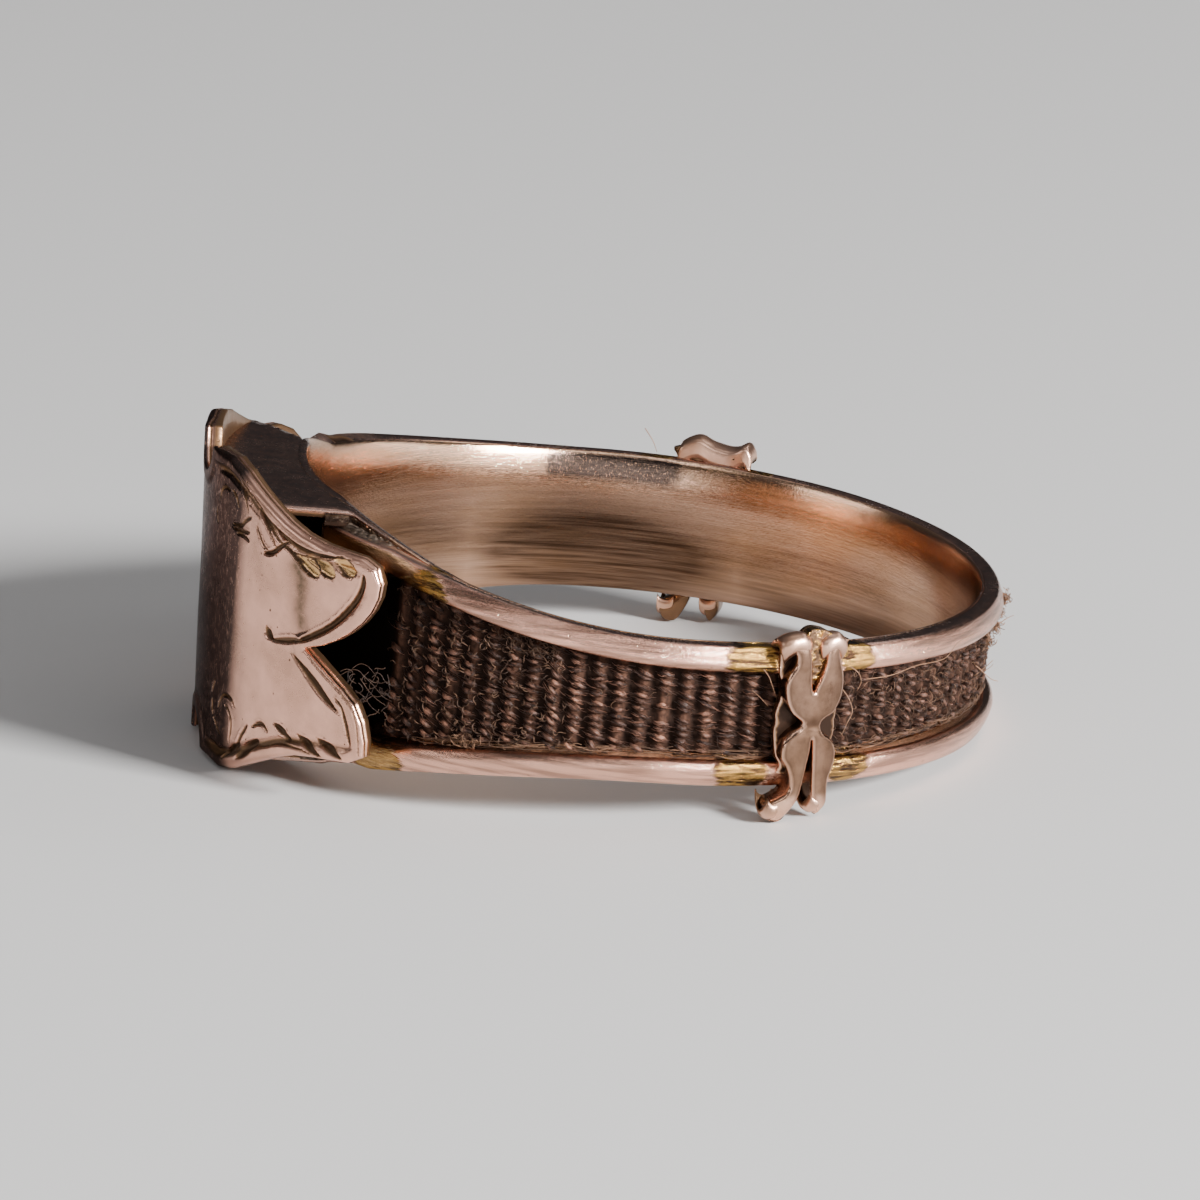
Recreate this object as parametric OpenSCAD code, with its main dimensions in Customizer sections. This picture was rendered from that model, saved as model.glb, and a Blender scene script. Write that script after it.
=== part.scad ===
// Hairwork ring: a rose gold finger ring with a shield at the front, a strip of woven hair
// laid in a channel round the band, and two leaf clips that hold the strip down.
// The ring's own frame has the finger axis along Z, the shield at -X and the near clip at -Y.
// The whole ring then leans about Y, as it rests on the shield's lower points and the clips' feet.

/* [Band] */
// Radius of the finger hole
bore_r = 8.75; // [8.5:0.05:9]
// Thickness of the sleeve that lines the finger hole and is the channel's floor
sleeve_t = 0.24; // [0.2:0.02:0.3]
// Depth of the hair channel below the rims' outer faces
channel_depth = 0.55; // [0.45:0.05:0.6]
// Height of each rim beside the channel
rim_h = 0.68; // [0.55:0.01:0.75]
// Height of the band at the back of the finger
back_h = 3.42; // [3.3:0.02:3.6]
// Height of the band where it starts to grow towards the shield
side_h = 3.72; // [3.64:0.02:3.8]
// Distance from the ring's centre, towards the back, at which that growth starts
flare_start = 0.3; // [0:0.1:1]
// Radius of the hollow curve of the band's edges on the near side, seen from that side
flare_r = 28.5; // [27:0.5:31]
// Radius of the same curve on the far side, where the band grows less
flare_far_r = 38; // [36:0.5:40]
// Height at which the rims stop growing, under the shelves
rim_top = 2.9; // [2.85:0.01:3]
// Angle from the shield at which the rims end inside the head
rim_end = 23; // [20:1:26]

/* [Head shelves] */
// Height of the shelves' flat faces above and below the ring's middle
shelf_z = 3.38; // [3.3:0.01:3.45]
// Height of the shelves' undersides above the ring's middle
shelf_under = 2.86; // [2.82:0.01:2.9]
// Half the width of a shelf where it meets the shield
shelf_half_w = 4.35; // [4:0.05:4.5]
// Distance of the shelf's bend from the ring's centre, where its flat face starts to slope
shelf_bend_x = 8.25; // [8.1:0.05:8.4]
// Distance from the ring's centre at which the sloping face meets the rim
shelf_end_x = 5.7; // [5.5:0.05:5.9]
// Radius of the shelf's outer edge beside the shield
crescent_r = 7.35; // [7.3:0.01:7.4]
// Offset of that edge's centre towards the shield
crescent_x = 2.2; // [2.15:0.01:2.25]
// Distance of the bend from the ring's centre on the far side
far_bend_x = 8.62; // [8.6:0.01:8.7]
// Angle at which the head's far edge slopes down from there
far_slope = 33; // [30:1:36]

/* [Shield] */
// Distance of the shield's face from the ring's centre
plate_x = 11.3; // [11.2:0.05:11.5]
// Offset of the shield's middle towards the near side
plate_off = 0.3; // [0:0.05:0.3]
// Radius of the shield's curve round the finger
plate_r = 8.75; // [8.5:0.05:9]
// Thickness of the shield at its border
plate_t = 0.5; // [0.45:0.05:0.6]
// Angle by which the shield stands steeper than the finger hole
plate_lean = 3; // [2:0.5:4]
// Width of the raised border
border_w = 0.42; // [0.35:0.01:0.5]
// Height of the raised border above the shield's plain field
border_h = 0.1; // [0.06:0.02:0.14]
// Angle round the finger at which the lobes' edges stand square to the shield
edge_turn = 47; // [44:1:50]
// Radius of the notch between the two points
notch_r = 1; // [0.9:0.05:1.1]
// Height of that notch's centre
notch_z = 4.2; // [4.1:0.05:4.3]

/* [Clips] */
// Angle of each clip from the back of the finger
clip_angle = 70; // [66:1:74]
// Thickness of a clip over the rims
clip_t = 0.51; // [0.4:0.01:0.6]
// Depth of a clip's folded ends, inwards from the rims' outer faces
fold_depth = 0.34; // [0.25:0.01:0.4]
// Thickness of a clip's folded ends below the band
fold_t = 0.58; // [0.5:0.01:0.6]
// Thickness of the strip folded over the band's upper edge, between a clip's leaves
lip_t = 0.24; // [0.16:0.02:0.3]

/* [Hair] */
// Depth of the woven hair below the rims' outer faces
hair_sunk = 0.22; // [0.15:0.01:0.3]
// Gap between the hair and the gold round it
hair_gap = 0.03; // [0.02:0.01:0.05]
// Angle from the shield at which the strip of hair is cut off
hair_end = 40; // [36:1:44]

/* [Hidden] */
$fn = 96;

gold = [0.80, 0.58, 0.49];
gold_dark = [0.72, 0.49, 0.38];
gold_pale = [0.88, 0.68, 0.58];
hair_brown = [0.30, 0.21, 0.16];

rim_r = bore_r + sleeve_t + channel_depth;
floor_r = bore_r + sleeve_t;
hair_r = rim_r - hair_sunk;
clip_r = rim_r + clip_t;
reach = 14;
bite = 0.06;
slack = 0.05;
seat_angle = 35;
seat_z = 1.9;
seat_h = 0.42;

// Upper half of the shield's outline as seen from the front, from its middle line to a side
// notch: distance across, height
plate_point = [
    [0, 4],
    [1, 4.02],
    [2.4, 4.12],
    [3.1, 3.95],
    [5.4, 2.92],
];
near_upper_lobe = [
    [5.95, 2.79],
    [6.8, 2.69],
    [7.05, 2.5],
    [7.15, 2.1],
    [7.12, 1.72],
    [7.02, 1.35],
    [6.86, 1.01],
    [6.64, 0.69],
    [6.36, 0.41],
    [6.05, 0.19],
    [5.7, 0.03],
    [5.6, 0],
];
near_lower_lobe = [
    [5.95, 2.81],
    [6.7, 2.73],
    [6.98, 2.5],
    [7, 2.1],
    [6.93, 1.6],
    [6.78, 1.15],
    [6.54, 0.82],
    [6.22, 0.5],
    [5.88, 0.2],
    [5.6, 0],
];
far_lobe = [
    [5.9, 2.76],
    [6.3, 2.55],
    [6.62, 2.22],
    [6.8, 1.82],
    [6.78, 1.38],
    [6.6, 0.9],
    [6.32, 0.48],
    [5.98, 0.18],
    [5.7, 0.03],
    [5.6, 0],
];
// Side of the blank from which the lobes are then cut
blank_side = [
    [5.95, 2.86],
    [7.6, 2.8],
    [7.6, 0],
];
plate_tip = plate_point[2];

// Far edge of the shelves from above, from the shield to the finger hole: X, Y
shelf_far_edge = [
    [-reach, 4.3],
    [-9.95, 4.3],
    [-9.13, 3.5],
    [-8.69, 2.75],
    [-8.4, 2.2],
    [-shelf_end_x, 0],
    [-shelf_end_x, -reach],
];

// The four leaves of a clip, from the top down: height, left edge, right edge
leaf_upper_left = [
    [2.36, -0.84, -0.44],
    [1.55, -0.70, -0.32],
    [1.00, -0.87, -0.18],
    [0.70, -0.84, -0.08],
    [0.35, -0.68, 0.10],
    [-0.10, -0.38, 0.20],
];
leaf_upper_right = [
    [2.36, 0.17, 0.62],
    [1.50, 0.16, 0.66],
    [1.10, 0.10, 0.75],
    [0.70, -0.13, 0.74],
    [0.35, -0.20, 0.64],
    [-0.10, -0.20, 0.50],
];
leaf_lower_left = [
    [0.10, -0.38, 0.20],
    [-0.30, -0.60, 0.10],
    [-0.60, -0.84, -0.02],
    [-0.95, -0.82, 0.00],
    [-1.40, -0.52, -0.10],
    [-1.80, -0.58, -0.24],
    [-2.05, -0.97, -0.36],
    [-2.45, -1.14, -0.56],
    [-2.70, -1.02, -0.78],
];
leaf_lower_right = [
    [0.10, -0.20, 0.50],
    [-0.25, 0.00, 0.60],
    [-0.50, 0.02, 0.75],
    [-0.90, 0.04, 0.82],
    [-1.25, 0.07, 0.77],
    [-1.50, 0.10, 0.64],
    [-2.00, 0.28, 0.66],
    [-2.55, 0.50, 0.62],
];
// The far clip's upper leaves stand wider apart
leaf_far_left = [
    [2.42, -0.80, -0.38],
    [1.95, -0.82, -0.12],
    [1.55, -0.70, -0.20],
    [1.00, -0.87, -0.18],
    [0.70, -0.84, -0.08],
    [0.35, -0.68, 0.10],
    [-0.10, -0.38, 0.20],
];
leaf_far_right = [
    [2.38, 0.50, 0.98],
    [1.90, 0.48, 1.00],
    [1.50, 0.40, 0.90],
    [1.10, 0.22, 0.82],
    [0.70, -0.10, 0.74],
    [0.35, -0.20, 0.64],
    [-0.10, -0.20, 0.50],
];
lower_leaves = [leaf_lower_left, leaf_lower_right];
near_leaves = concat([leaf_upper_left, leaf_upper_right], lower_leaves);
far_leaves = concat([leaf_far_left, leaf_far_right], lower_leaves);
near_lip = [-0.82, 0.64];
far_lip = [-0.9, 0.62];

// The ring rests on the back corners of the shield's lower points and on the clips' lower left
// leaves, and its lean follows from those two places.
foot = leaf_lower_left[len(leaf_lower_left) - 1];
foot_x = cos(clip_angle) * sqrt(pow(clip_r, 2) - pow(foot[2], 2)) + sin(clip_angle) * foot[2];
tip_in = plate_r - sqrt(pow(plate_r - plate_t, 2) - pow(plate_tip[0], 2));
tip_x = tip_in * cos(plate_lean) + plate_tip[1] * sin(plate_lean) - plate_x;
tip_z = tip_in * sin(plate_lean) - plate_tip[1] * cos(plate_lean);
rest_lean = atan((foot[0] - tip_z) / (foot_x - tip_x));

// Outward normal of the edge from a to b of a line that runs clockwise
function normal(a, b) = [a[1] - b[1], b[0] - a[0]] / norm(b - a);
// Mitred outward direction at point i of a line of points that ends at a side notch
function mitre(p, i) =
    i == 0 ? normal(p[0], p[1])
    : i == len(p) - 1 ? [1, 0]
    : let (n = normal(p[i - 1], p[i]), m = normal(p[i], p[i + 1])) (n + m) / (1 + n * m);
// The line of points p moved inwards by the distance d
function inset(p, d) = [for (i = [0:len(p) - 1]) p[i] - d * mitre(p, i)];
// The line of points p, and the line q mirrored below it, from top to bottom
function down(p, q) = concat(p, [for (i = [len(q) - 2:-1:0]) [q[i][0], -q[i][1]]]);
// The line of points p on the other side of the middle line, in reverse
function across(p) = [for (i = [len(p) - 1:-1:0]) [-p[i][0], p[i][1]]];
// One side of the shield's outline from top to bottom, brought in by the distance d
function side_line(upper, lower, d) =
    down(inset(concat(plate_point, upper), d), inset(concat(plate_point, lower), d));
// Outline point p as seen from the direction in which the lobes' edges are cut
function turned(p) = [plate_r * sin(asin(p[0] / plate_r) - edge_turn), p[1]];

// Solid between two radii, centred on the ring's middle plane
module tube(r_in, r_out, h) {
    difference() {
        cylinder(r = r_out, h = h, center = true);
        cylinder(r = r_in, h = h + 1, center = true);
    }
}

// Extrudes a side view of the ring, drawn as X and Z, right through it along Y
module through_side() {
    rotate([90, 0, 0]) linear_extrude(2 * reach, center = true) children();
}

// Extrudes a front view, drawn as Y and Z, along X from a given place
module through_front(from, depth) {
    translate([from, 0, 0]) rotate([90, 0, 90]) linear_extrude(depth) children();
}

module mirrored_z() {
    children();
    mirror([0, 0, 1]) children();
}

module mirrored_y() {
    children();
    mirror([0, 1, 0]) children();
}

// Extrudes a side view through the near half of the ring, or with side = 1 the far half
module through_half(side) {
    translate([0, side * reach / 2, 0])
        rotate([90, 0, 0]) linear_extrude(reach, center = true) children();
}

// Wedge of the ring round the shield, to a given angle each side of it
module front_wedge(angle) {
    linear_extrude(reach, center = true)
        polygon([
            [0, 0],
            [-reach, reach * tan(angle)],
            [-reach, -reach * tan(angle)],
        ]);
}

// Side view of the band with its edges brought in by a distance
module band_side(drop) {
    half_back = back_h / 2 - drop;
    half_side = side_h / 2 - drop;
    half_top = rim_top - drop;
    difference() {
        polygon([
            [reach, half_back],
            [flare_start, half_side],
            [flare_start, half_top],
            [-reach, half_top],
            [-reach, -half_top],
            [flare_start, -half_top],
            [flare_start, -half_side],
            [reach, -half_back],
        ]);
        for (side = [-1, 1])
            translate([flare_start, side * (half_side + flare_r)]) circle(flare_r, $fn = 180);
    }
}

// Side view of the upper shelf, from its sloping end to the shield
module shelf_side() {
    polygon([
        [-reach, shelf_z],
        [-shelf_bend_x, shelf_z],
        [-shelf_end_x, 2.46],
        [-shelf_end_x, 2.2],
        [-reach / 2 - 0.6, shelf_under],
        [-reach, shelf_under],
    ]);
}

// Side view of what the far side lacks above its own, lower curve
module far_side_cut() {
    half_side = side_h / 2;
    slope_end = (shelf_z - half_side) / tan(far_slope) - far_bend_x;
    intersection() {
        translate([flare_start, half_side + flare_far_r]) circle(flare_far_r, $fn = 180);
        polygon([
            [-far_bend_x, reach],
            [-far_bend_x, shelf_z],
            [slope_end, half_side],
            [flare_start, half_side],
            [flare_start, reach],
        ]);
    }
}

// Sleeve round the finger, with the full height of the head at the front
module sleeve() {
    color(gold_dark)
        difference() {
            intersection() {
                tube(bore_r, floor_r, 2 * reach);
                through_side() {
                    band_side(0);
                    shelf_side();
                    mirror([0, 1]) shelf_side();
                }
            }
            mirrored_z() through_half(1) far_side_cut();
        }
}

// The two rims, one block of the band's outline with the channel taken out
module rims() {
    color(gold)
        difference() {
            intersection() {
                tube(floor_r - bite, rim_r, 2 * reach);
                through_side() band_side(0);
            }
            difference() {
                through_side() band_side(rim_h);
                cylinder(r = floor_r, h = 2 * reach, center = true);
            }
            front_wedge(rim_end);
            mirrored_z() through_half(1) far_side_cut();
        }
}

// Upper shelf between the sleeve and the back of the shield
module head_shelf() {
    color(gold_pale)
        intersection() {
            through_side() shelf_side();
            linear_extrude(reach)
                difference() {
                    union() {
                        translate([-crescent_x, 0]) circle(crescent_r);
                        translate([-reach, -shelf_half_w]) square([reach, 2 * shelf_half_w]);
                    }
                    circle(bore_r);
                    polygon(concat(shelf_far_edge, [[reach, -reach], [reach, reach], [-reach, reach]]));
                }
            plate_place() cylinder(r = plate_r - plate_t / 2, h = 2 * reach, center = true);
        }
}

// Puts the shield's own frame in place: its curve's axis along Z, its face towards -X
module plate_place() {
    translate([-plate_x, -plate_off, 0])
        rotate([0, -plate_lean, 0])
            translate([plate_r, 0, 0]) children();
}

// Front view of the shield between two side lines, with its notches grown by a distance
module plate_outline(near_line, far_line, drop) {
    difference() {
        polygon(concat(far_line, across(near_line)));
        for (up = [-1, 1])
            translate([0, up * notch_z]) circle(notch_r + drop);
    }
}

// Block that ends at the far side's lobes, with their edges square to the shield there
module lobe_edges(upper, lower) {
    slope = [for (i = [3, 4]) plate_point[i] + [0, slack]];
    seen = [for (p = down(concat(slope, upper), concat(slope, lower))) turned(p)];
    start = seen[0][0];
    rotate([0, 0, -edge_turn])
        through_front(-reach, 2 * reach)
            polygon(concat(
                [[-reach, reach], [start, reach]],
                seen,
                [[start, -reach], [-reach, -reach]]
            ));
}

// Curved shield with its raised border
module shield_plate() {
    blank_line = side_line(blank_side, blank_side, 0);
    color(gold_pale)
        plate_place()
            difference() {
                intersection() {
                    tube(plate_r - plate_t, plate_r, 2 * reach);
                    through_front(-reach, reach) plate_outline(blank_line, blank_line, 0);
                    lobe_edges(far_lobe, far_lobe);
                    mirror([0, 1, 0]) lobe_edges(near_upper_lobe, near_lower_lobe);
                }
                intersection() {
                    tube(plate_r - border_h, plate_r + 1, 2 * reach);
                    through_front(-reach, reach)
                        plate_outline(
                            side_line(near_upper_lobe, near_lower_lobe, border_w),
                            side_line(far_lobe, far_lobe, border_w),
                            border_w
                        );
                }
            }
}

// Post of solder that joins a lobe's back to the sleeve and rim behind it
module solder_seat() {
    color(gold)
        intersection() {
            plate_place() cylinder(r = plate_r - plate_t / 2, h = 2 * reach, center = true);
            tube(floor_r - bite, rim_r + 1.2, 2 * reach);
            translate([0, 0, seat_z])
                linear_extrude(seat_h)
                    polygon([
                        [0, 0],
                        [-reach, -reach * tan(seat_angle + 2)],
                        [-reach, -reach * tan(seat_angle - 2)],
                    ]);
        }
}

// Outline of one leaf of a clip
module leaf(rows) {
    polygon(concat(
        [for (row = rows) [row[1], row[0]]],
        [for (i = [len(rows) - 1:-1:0]) [rows[i][2], rows[i][0]]]
    ));
}

// Clip on the near side: four leaves over the rims, their ends folded over the band's edges
module clip(leaves, lip) {
    half_band = side_h / 2;
    color(gold_pale) {
        intersection() {
            union() {
                tube(hair_r + hair_gap, clip_r, 2 * reach);
                translate([0, 0, -half_band - fold_t / 2])
                    tube(rim_r - fold_depth, clip_r, fold_t + 2 * bite);
            }
            rotate([0, 0, -clip_angle])
                through_front(0, reach)
                    for (rows = leaves) leaf(rows);
        }
        intersection() {
            tube(rim_r - fold_depth, rim_r + lip_t, 2 * (half_band + lip_t));
            rotate([0, 0, -clip_angle])
                through_front(0, reach)
                    translate([lip[0], half_band - 2 * bite]) square([lip[1] - lip[0], reach]);
        }
    }
}

module gold_ring() {
    rotate([0, rest_lean, 0]) {
        sleeve();
        rims();
        mirrored_z() head_shelf();
        shield_plate();
        mirrored_z() mirrored_y() solder_seat();
        clip(near_leaves, near_lip);
        mirror([0, 1, 0]) clip(far_leaves, far_lip);
    }
}

// Strip of woven hair in the channel, open behind the shield
module hair_weave() {
    color(hair_brown)
        rotate([0, rest_lean, 0])
            difference() {
                intersection() {
                    tube(floor_r + hair_gap, hair_r, 2 * reach);
                    through_side() band_side(rim_h + hair_gap);
                }
                front_wedge(hair_end);
            }
}

gold_ring();
hair_weave();
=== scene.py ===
# Hairwork ring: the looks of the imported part, its camera, light and floor.
# Sizes are in millimetres in the ring's own frame: finger axis Z, shield at -X, near clip at -Y.
# A list of places is flat: the two numbers of each place in turn.
import math

import bmesh
import bpy
import numpy as np
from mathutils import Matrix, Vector
from mathutils.geometry import delaunay_2d_cdt


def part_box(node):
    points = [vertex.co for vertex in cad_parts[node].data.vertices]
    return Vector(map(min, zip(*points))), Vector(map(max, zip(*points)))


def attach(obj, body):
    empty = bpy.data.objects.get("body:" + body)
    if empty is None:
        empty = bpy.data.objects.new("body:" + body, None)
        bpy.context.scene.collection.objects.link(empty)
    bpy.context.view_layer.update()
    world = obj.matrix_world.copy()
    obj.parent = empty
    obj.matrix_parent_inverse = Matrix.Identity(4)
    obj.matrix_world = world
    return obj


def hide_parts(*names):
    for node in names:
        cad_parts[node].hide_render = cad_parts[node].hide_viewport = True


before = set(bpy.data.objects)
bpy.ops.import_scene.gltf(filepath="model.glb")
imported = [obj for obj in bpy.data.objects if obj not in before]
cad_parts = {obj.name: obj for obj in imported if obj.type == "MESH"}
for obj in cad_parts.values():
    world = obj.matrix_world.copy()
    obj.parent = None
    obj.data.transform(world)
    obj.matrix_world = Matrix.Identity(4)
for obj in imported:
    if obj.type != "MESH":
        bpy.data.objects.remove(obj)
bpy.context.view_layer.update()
MM = 0.001
rng = np.random.default_rng(7)
GOLD_PART = ("gold_ring", "rose_gold")
HAIR_PART = ("hair_weave", "woven_hair")

# Sizes repeated from the part's source
BORE_R = 8.75
SLEEVE_R = 8.99
RIM_R = 9.54
HAIR_R = 9.32
CLIP_R = 10.05
RIM_H = 0.68
SIDE_H = 3.72
BACK_SLOPE = 0.011
FLARE_START = 0.3
FLARE_NEAR = 28.5
FLARE_FAR = 38.0
RIM_TOP = 2.9
RIM_DIP = (27, 9, 0.17)  # degrees from the shield, width in degrees, depth
RIM_END = 23.0
SHELF_Z = 3.38
SHELF_BEND = 8.25
SHELF_SLOPE = 0.361
FAR_BEND = 8.62
FAR_SLOPE = 0.649
PLATE_X = 11.3
PLATE_OFF = 0.3
PLATE_R = 8.75
PLATE_T = 0.5
PLATE_LEAN = math.radians(3)
CLIP_ANGLE = math.radians(70)
HAIR_END = 40.0
LEAN = math.radians(6.05)
FLOOR_Z = min(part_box("gold_ring")[0][2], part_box("hair_weave")[0][2])

# Camera: a long lens near the level of the ring, a little above it
CAMERA_DISTANCE = 350.0
CAMERA_AZIMUTH = math.radians(-7.67)
CAMERA_ELEVATION = math.radians(16.12)
CAMERA_LENS = 405.7
SENSOR = 36.0
PHOTO = 1200
AIM_RIGHT = -0.80
AIM_UP = 0.30

RIGHT = np.array((math.cos(CAMERA_AZIMUTH), math.sin(CAMERA_AZIMUTH), 0.0))
LEVEL_BACK = np.array((math.sin(CAMERA_AZIMUTH), -math.cos(CAMERA_AZIMUTH), 0.0))
BACK = LEVEL_BACK * math.cos(CAMERA_ELEVATION) + (0, 0, math.sin(CAMERA_ELEVATION))
UP = np.cross(BACK, RIGHT)
EYE = BACK * CAMERA_DISTANCE + RIGHT * AIM_RIGHT + UP * AIM_UP


def unit(x):
    """x held between 0 and 1."""
    return np.clip(x, 0, 1)


def pairs(numbers):
    """A flat list of places, two numbers a row."""
    return np.reshape(np.asarray(numbers, float), (-1, 2))


def normed(rows):
    """Rows scaled to a length of 1."""
    return rows / np.maximum(np.linalg.norm(rows, axis=-1, keepdims=True), 1e-9)


def leftward(way):
    """Unit normals to the left of directions."""
    return normed(np.stack((-way[:, 1], way[:, 0]), 1))


def turn_y(points, angle):
    """Points turned about the Y axis, which carries Z towards X."""
    p = np.asarray(points, float)
    c, s = math.cos(angle), math.sin(angle)
    return np.stack((p[..., 0] * c + p[..., 2] * s, p[..., 1], -p[..., 0] * s + p[..., 2] * c), -1)


def plate_frame(points):
    """Points of the ring's frame, seen in the shield's own frame."""
    p = np.asarray(points, float) + (PLATE_X, PLATE_OFF, 0)
    return turn_y(p, PLATE_LEAN) - (PLATE_R, 0, 0)


def from_plate(points):
    return turn_y(points + (PLATE_R, 0, 0), -PLATE_LEAN) - (PLATE_X, PLATE_OFF, 0)


def ring_points(angle, radius, height):
    """Points from an angle from the shield towards the near side, a radius and a height."""
    x, y = -radius * np.cos(angle), -radius * np.sin(angle)
    return np.stack(np.broadcast_arrays(x, y, height), -1)


def hit(start, way, radius):
    """Where a ray first meets a cylinder of that radius about Z."""
    a = way[0] ** 2 + way[1] ** 2
    b = start[0] * way[0] + start[1] * way[1]
    c = start[0] ** 2 + start[1] ** 2 - radius**2
    return start + way * (-b - math.sqrt(max(b * b - a * c, 0))) / a


def photo_ray(u, v):
    """The camera's ray through a pixel of the 1200 pixel photo, in the ring's frame."""
    scale = SENSOR / CAMERA_LENS / PHOTO
    way = -BACK + RIGHT * (u - PHOTO / 2) * scale + UP * (PHOTO / 2 - v) * scale
    return turn_y(EYE, -LEAN), turn_y(way, -LEAN)


def on_shield(pixels):
    """Pixels to places on the shield's face: distance round it towards the near side, height."""
    out = []
    for u, v in pairs(pixels):
        start, way = photo_ray(u, v)
        p = hit(plate_frame(start), plate_frame(start + way) - plate_frame(start), PLATE_R)
        out.append((PLATE_R * math.asin(max(-1, min(1, -p[1] / PLATE_R))), p[2]))
    return np.array(out)


def on_clip(pixels, radius=CLIP_R):
    """Pixels to places on the near clip: distance towards the back at its face, height."""
    out = []
    for u, v in pairs(pixels):
        p = hit(*photo_ray(u, v), radius)
        out.append((CLIP_R * (math.atan2(p[1], p[0]) + CLIP_ANGLE), p[2]))
    return np.array(out)


def on_plane(u, v, y):
    """The point of a pixel's ray at a given Y."""
    start, way = photo_ray(u, v)
    return start + way * ((y - start[1]) / way[1])


# Meshes


def make(name, points, faces, material, part, marks):
    """A piece from points in millimetres in the ring's frame, with the marks that its material reads."""
    mesh = bpy.data.meshes.new(name)
    world = turn_y(points, LEAN) * MM
    mesh.from_pydata(world.tolist(), [], [list(map(int, f)) for f in faces])
    mesh.validate()
    shell = bmesh.new()
    shell.from_mesh(mesh)
    bmesh.ops.recalc_face_normals(shell, faces=shell.faces)
    shell.to_mesh(mesh)
    shell.free()
    for key, values in marks.items():
        values = np.asarray(values, np.float32)
        kind, field = ("FLOAT", "value") if values.ndim == 1 else ("FLOAT_VECTOR", "vector")
        mesh.attributes.new(key, kind, "POINT").data.foreach_set(field, values.ravel())
    for polygon in mesh.polygons:
        polygon.use_smooth = True
    mesh.materials.append(material)
    piece = bpy.data.objects.new(name, mesh)
    bpy.context.scene.collection.objects.link(piece)
    node, slot = part
    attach(piece, "root")
    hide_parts(node)
    return piece


def grid_faces(rows, columns, round_rows=False, round_columns=False, base=0):
    """Quads between rows of points, with either direction closed or open."""
    i = np.arange(rows if round_rows else rows - 1)
    j = np.arange(columns if round_columns else columns - 1)
    i, j = (k.ravel() for k in np.meshgrid(i, j, indexing="ij"))
    i2, j2 = (i + 1) % rows, (j + 1) % columns
    quads = (i * columns + j, i * columns + j2, i2 * columns + j2, i2 * columns + j)
    return (base + np.stack(quads, 1)).tolist()


def tube_faces(rows, columns, closed=False, base=0):
    """Faces of a tube of closed rows, which runs back into itself or has its ends filled."""
    ends = [] if closed else [range(columns)[::-1], range((rows - 1) * columns, rows * columns)]
    return grid_faces(rows, columns, closed, True, base) + [[base + k for k in end] for end in ends]


def shell_faces(rows, columns):
    """Faces of a thin closed body: a grid of points above, the same grid below, and its rim."""
    size = rows * columns
    sheet = grid_faces(rows, columns)
    rim = list(range(columns)) + [i * columns + columns - 1 for i in range(1, rows)]
    rim += [size - 1 - k for k in range(1, columns)] + [i * columns for i in range(rows - 2, 0, -1)]
    around = [[a, b, size + b, size + a] for a, b in zip(rim, rim[1:] + rim[:1])]
    return sheet + [[size + k for k in reversed(f)] for f in sheet] + around


def smooth_line(points, step, closed=True):
    """A Catmull-Rom curve through points, resampled at about the given step."""
    n = len(points)
    out = []
    for i in range(n if closed else n - 1):
        near = [(i + k) % n if closed else min(max(i + k, 0), n - 1) for k in (-1, 0, 1, 2)]
        a, b, c, d = points[near]
        count = max(1, int(round(np.linalg.norm(c - b) / step)))
        t = (np.arange(count) / count)[:, None]
        curve = 2 * b + (c - a) * t + (2 * a - 5 * b + 4 * c - d) * t**2
        out.append(0.5 * (curve + (3 * b - a - 3 * c + d) * t**3))
    return np.concatenate(out if closed else out + [points[-1:]])


def dense_line(points, step):
    """A closed line of straight runs, resampled at about the given step."""
    p = np.asarray(points, float)
    out = []
    for a, b in zip(p, np.roll(p, -1, 0)):
        count = max(1, int(round(np.linalg.norm(b - a) / step)))
        out.append(a + (b - a) * (np.arange(count) / count)[:, None])
    return np.concatenate(out)


def distance(points, line):
    """Distance of points from a line, and how far along it the nearest place is, from 0 to 1."""
    length = np.linalg.norm(line[1:] - line[:-1], axis=1)
    along = np.concatenate(([0], np.cumsum(length)))
    best = np.full(len(points), np.inf)
    where = np.zeros(len(points))
    for k, (a, b) in enumerate(zip(line, line[1:])):
        t = unit(((points - a) @ (b - a)) / max(length[k] ** 2, 1e-12))
        d = np.linalg.norm(points - a - t[:, None] * (b - a), axis=1)
        near = d < best
        best[near] = d[near]
        where[near] = (along[k] + t[near] * length[k]) / along[-1]
    return best, where


def to_edge(points, line):
    """Distance of points from a closed line."""
    return distance(points, np.concatenate((line, line[:1])))[0]


def inside(points, line):
    """Which points lie inside a closed line."""
    result = np.zeros(len(points), bool)
    x, y = points[:, 0], points[:, 1]
    for (ax, ay), (bx, by) in zip(line, np.roll(line, -1, 0)):
        if ay != by:
            crossing = (ay > y) != (by > y)
            result ^= crossing & (x < (bx - ax) * (y - ay) / (by - ay) + ax)
    return result


def grid_inside(line, across, up, shift, margin):
    """A grid's points inside a closed line, further from it than margin(). Every other row is shifted."""
    low, high = line.min(0), line.max(0)
    grid = np.stack(np.meshgrid(np.arange(low[0], high[0], across), np.arange(low[1], high[1], up)), -1)
    grid[1::2, :, 0] += shift
    grid = grid.reshape(-1, 2)
    grid = grid[inside(grid, line)]
    return grid[to_edge(grid, line) > margin(grid)]


def outward(line):
    """Unit normals of a closed line that runs anticlockwise."""
    return -leftward(np.roll(line, -1, 0) - np.roll(line, 1, 0))


def anticlockwise(line):
    x, y = line[:, 0], line[:, 1]
    area = np.sum(x * np.roll(y, -1) - np.roll(x, -1) * y)
    return line if area > 0 else line[::-1]


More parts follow.
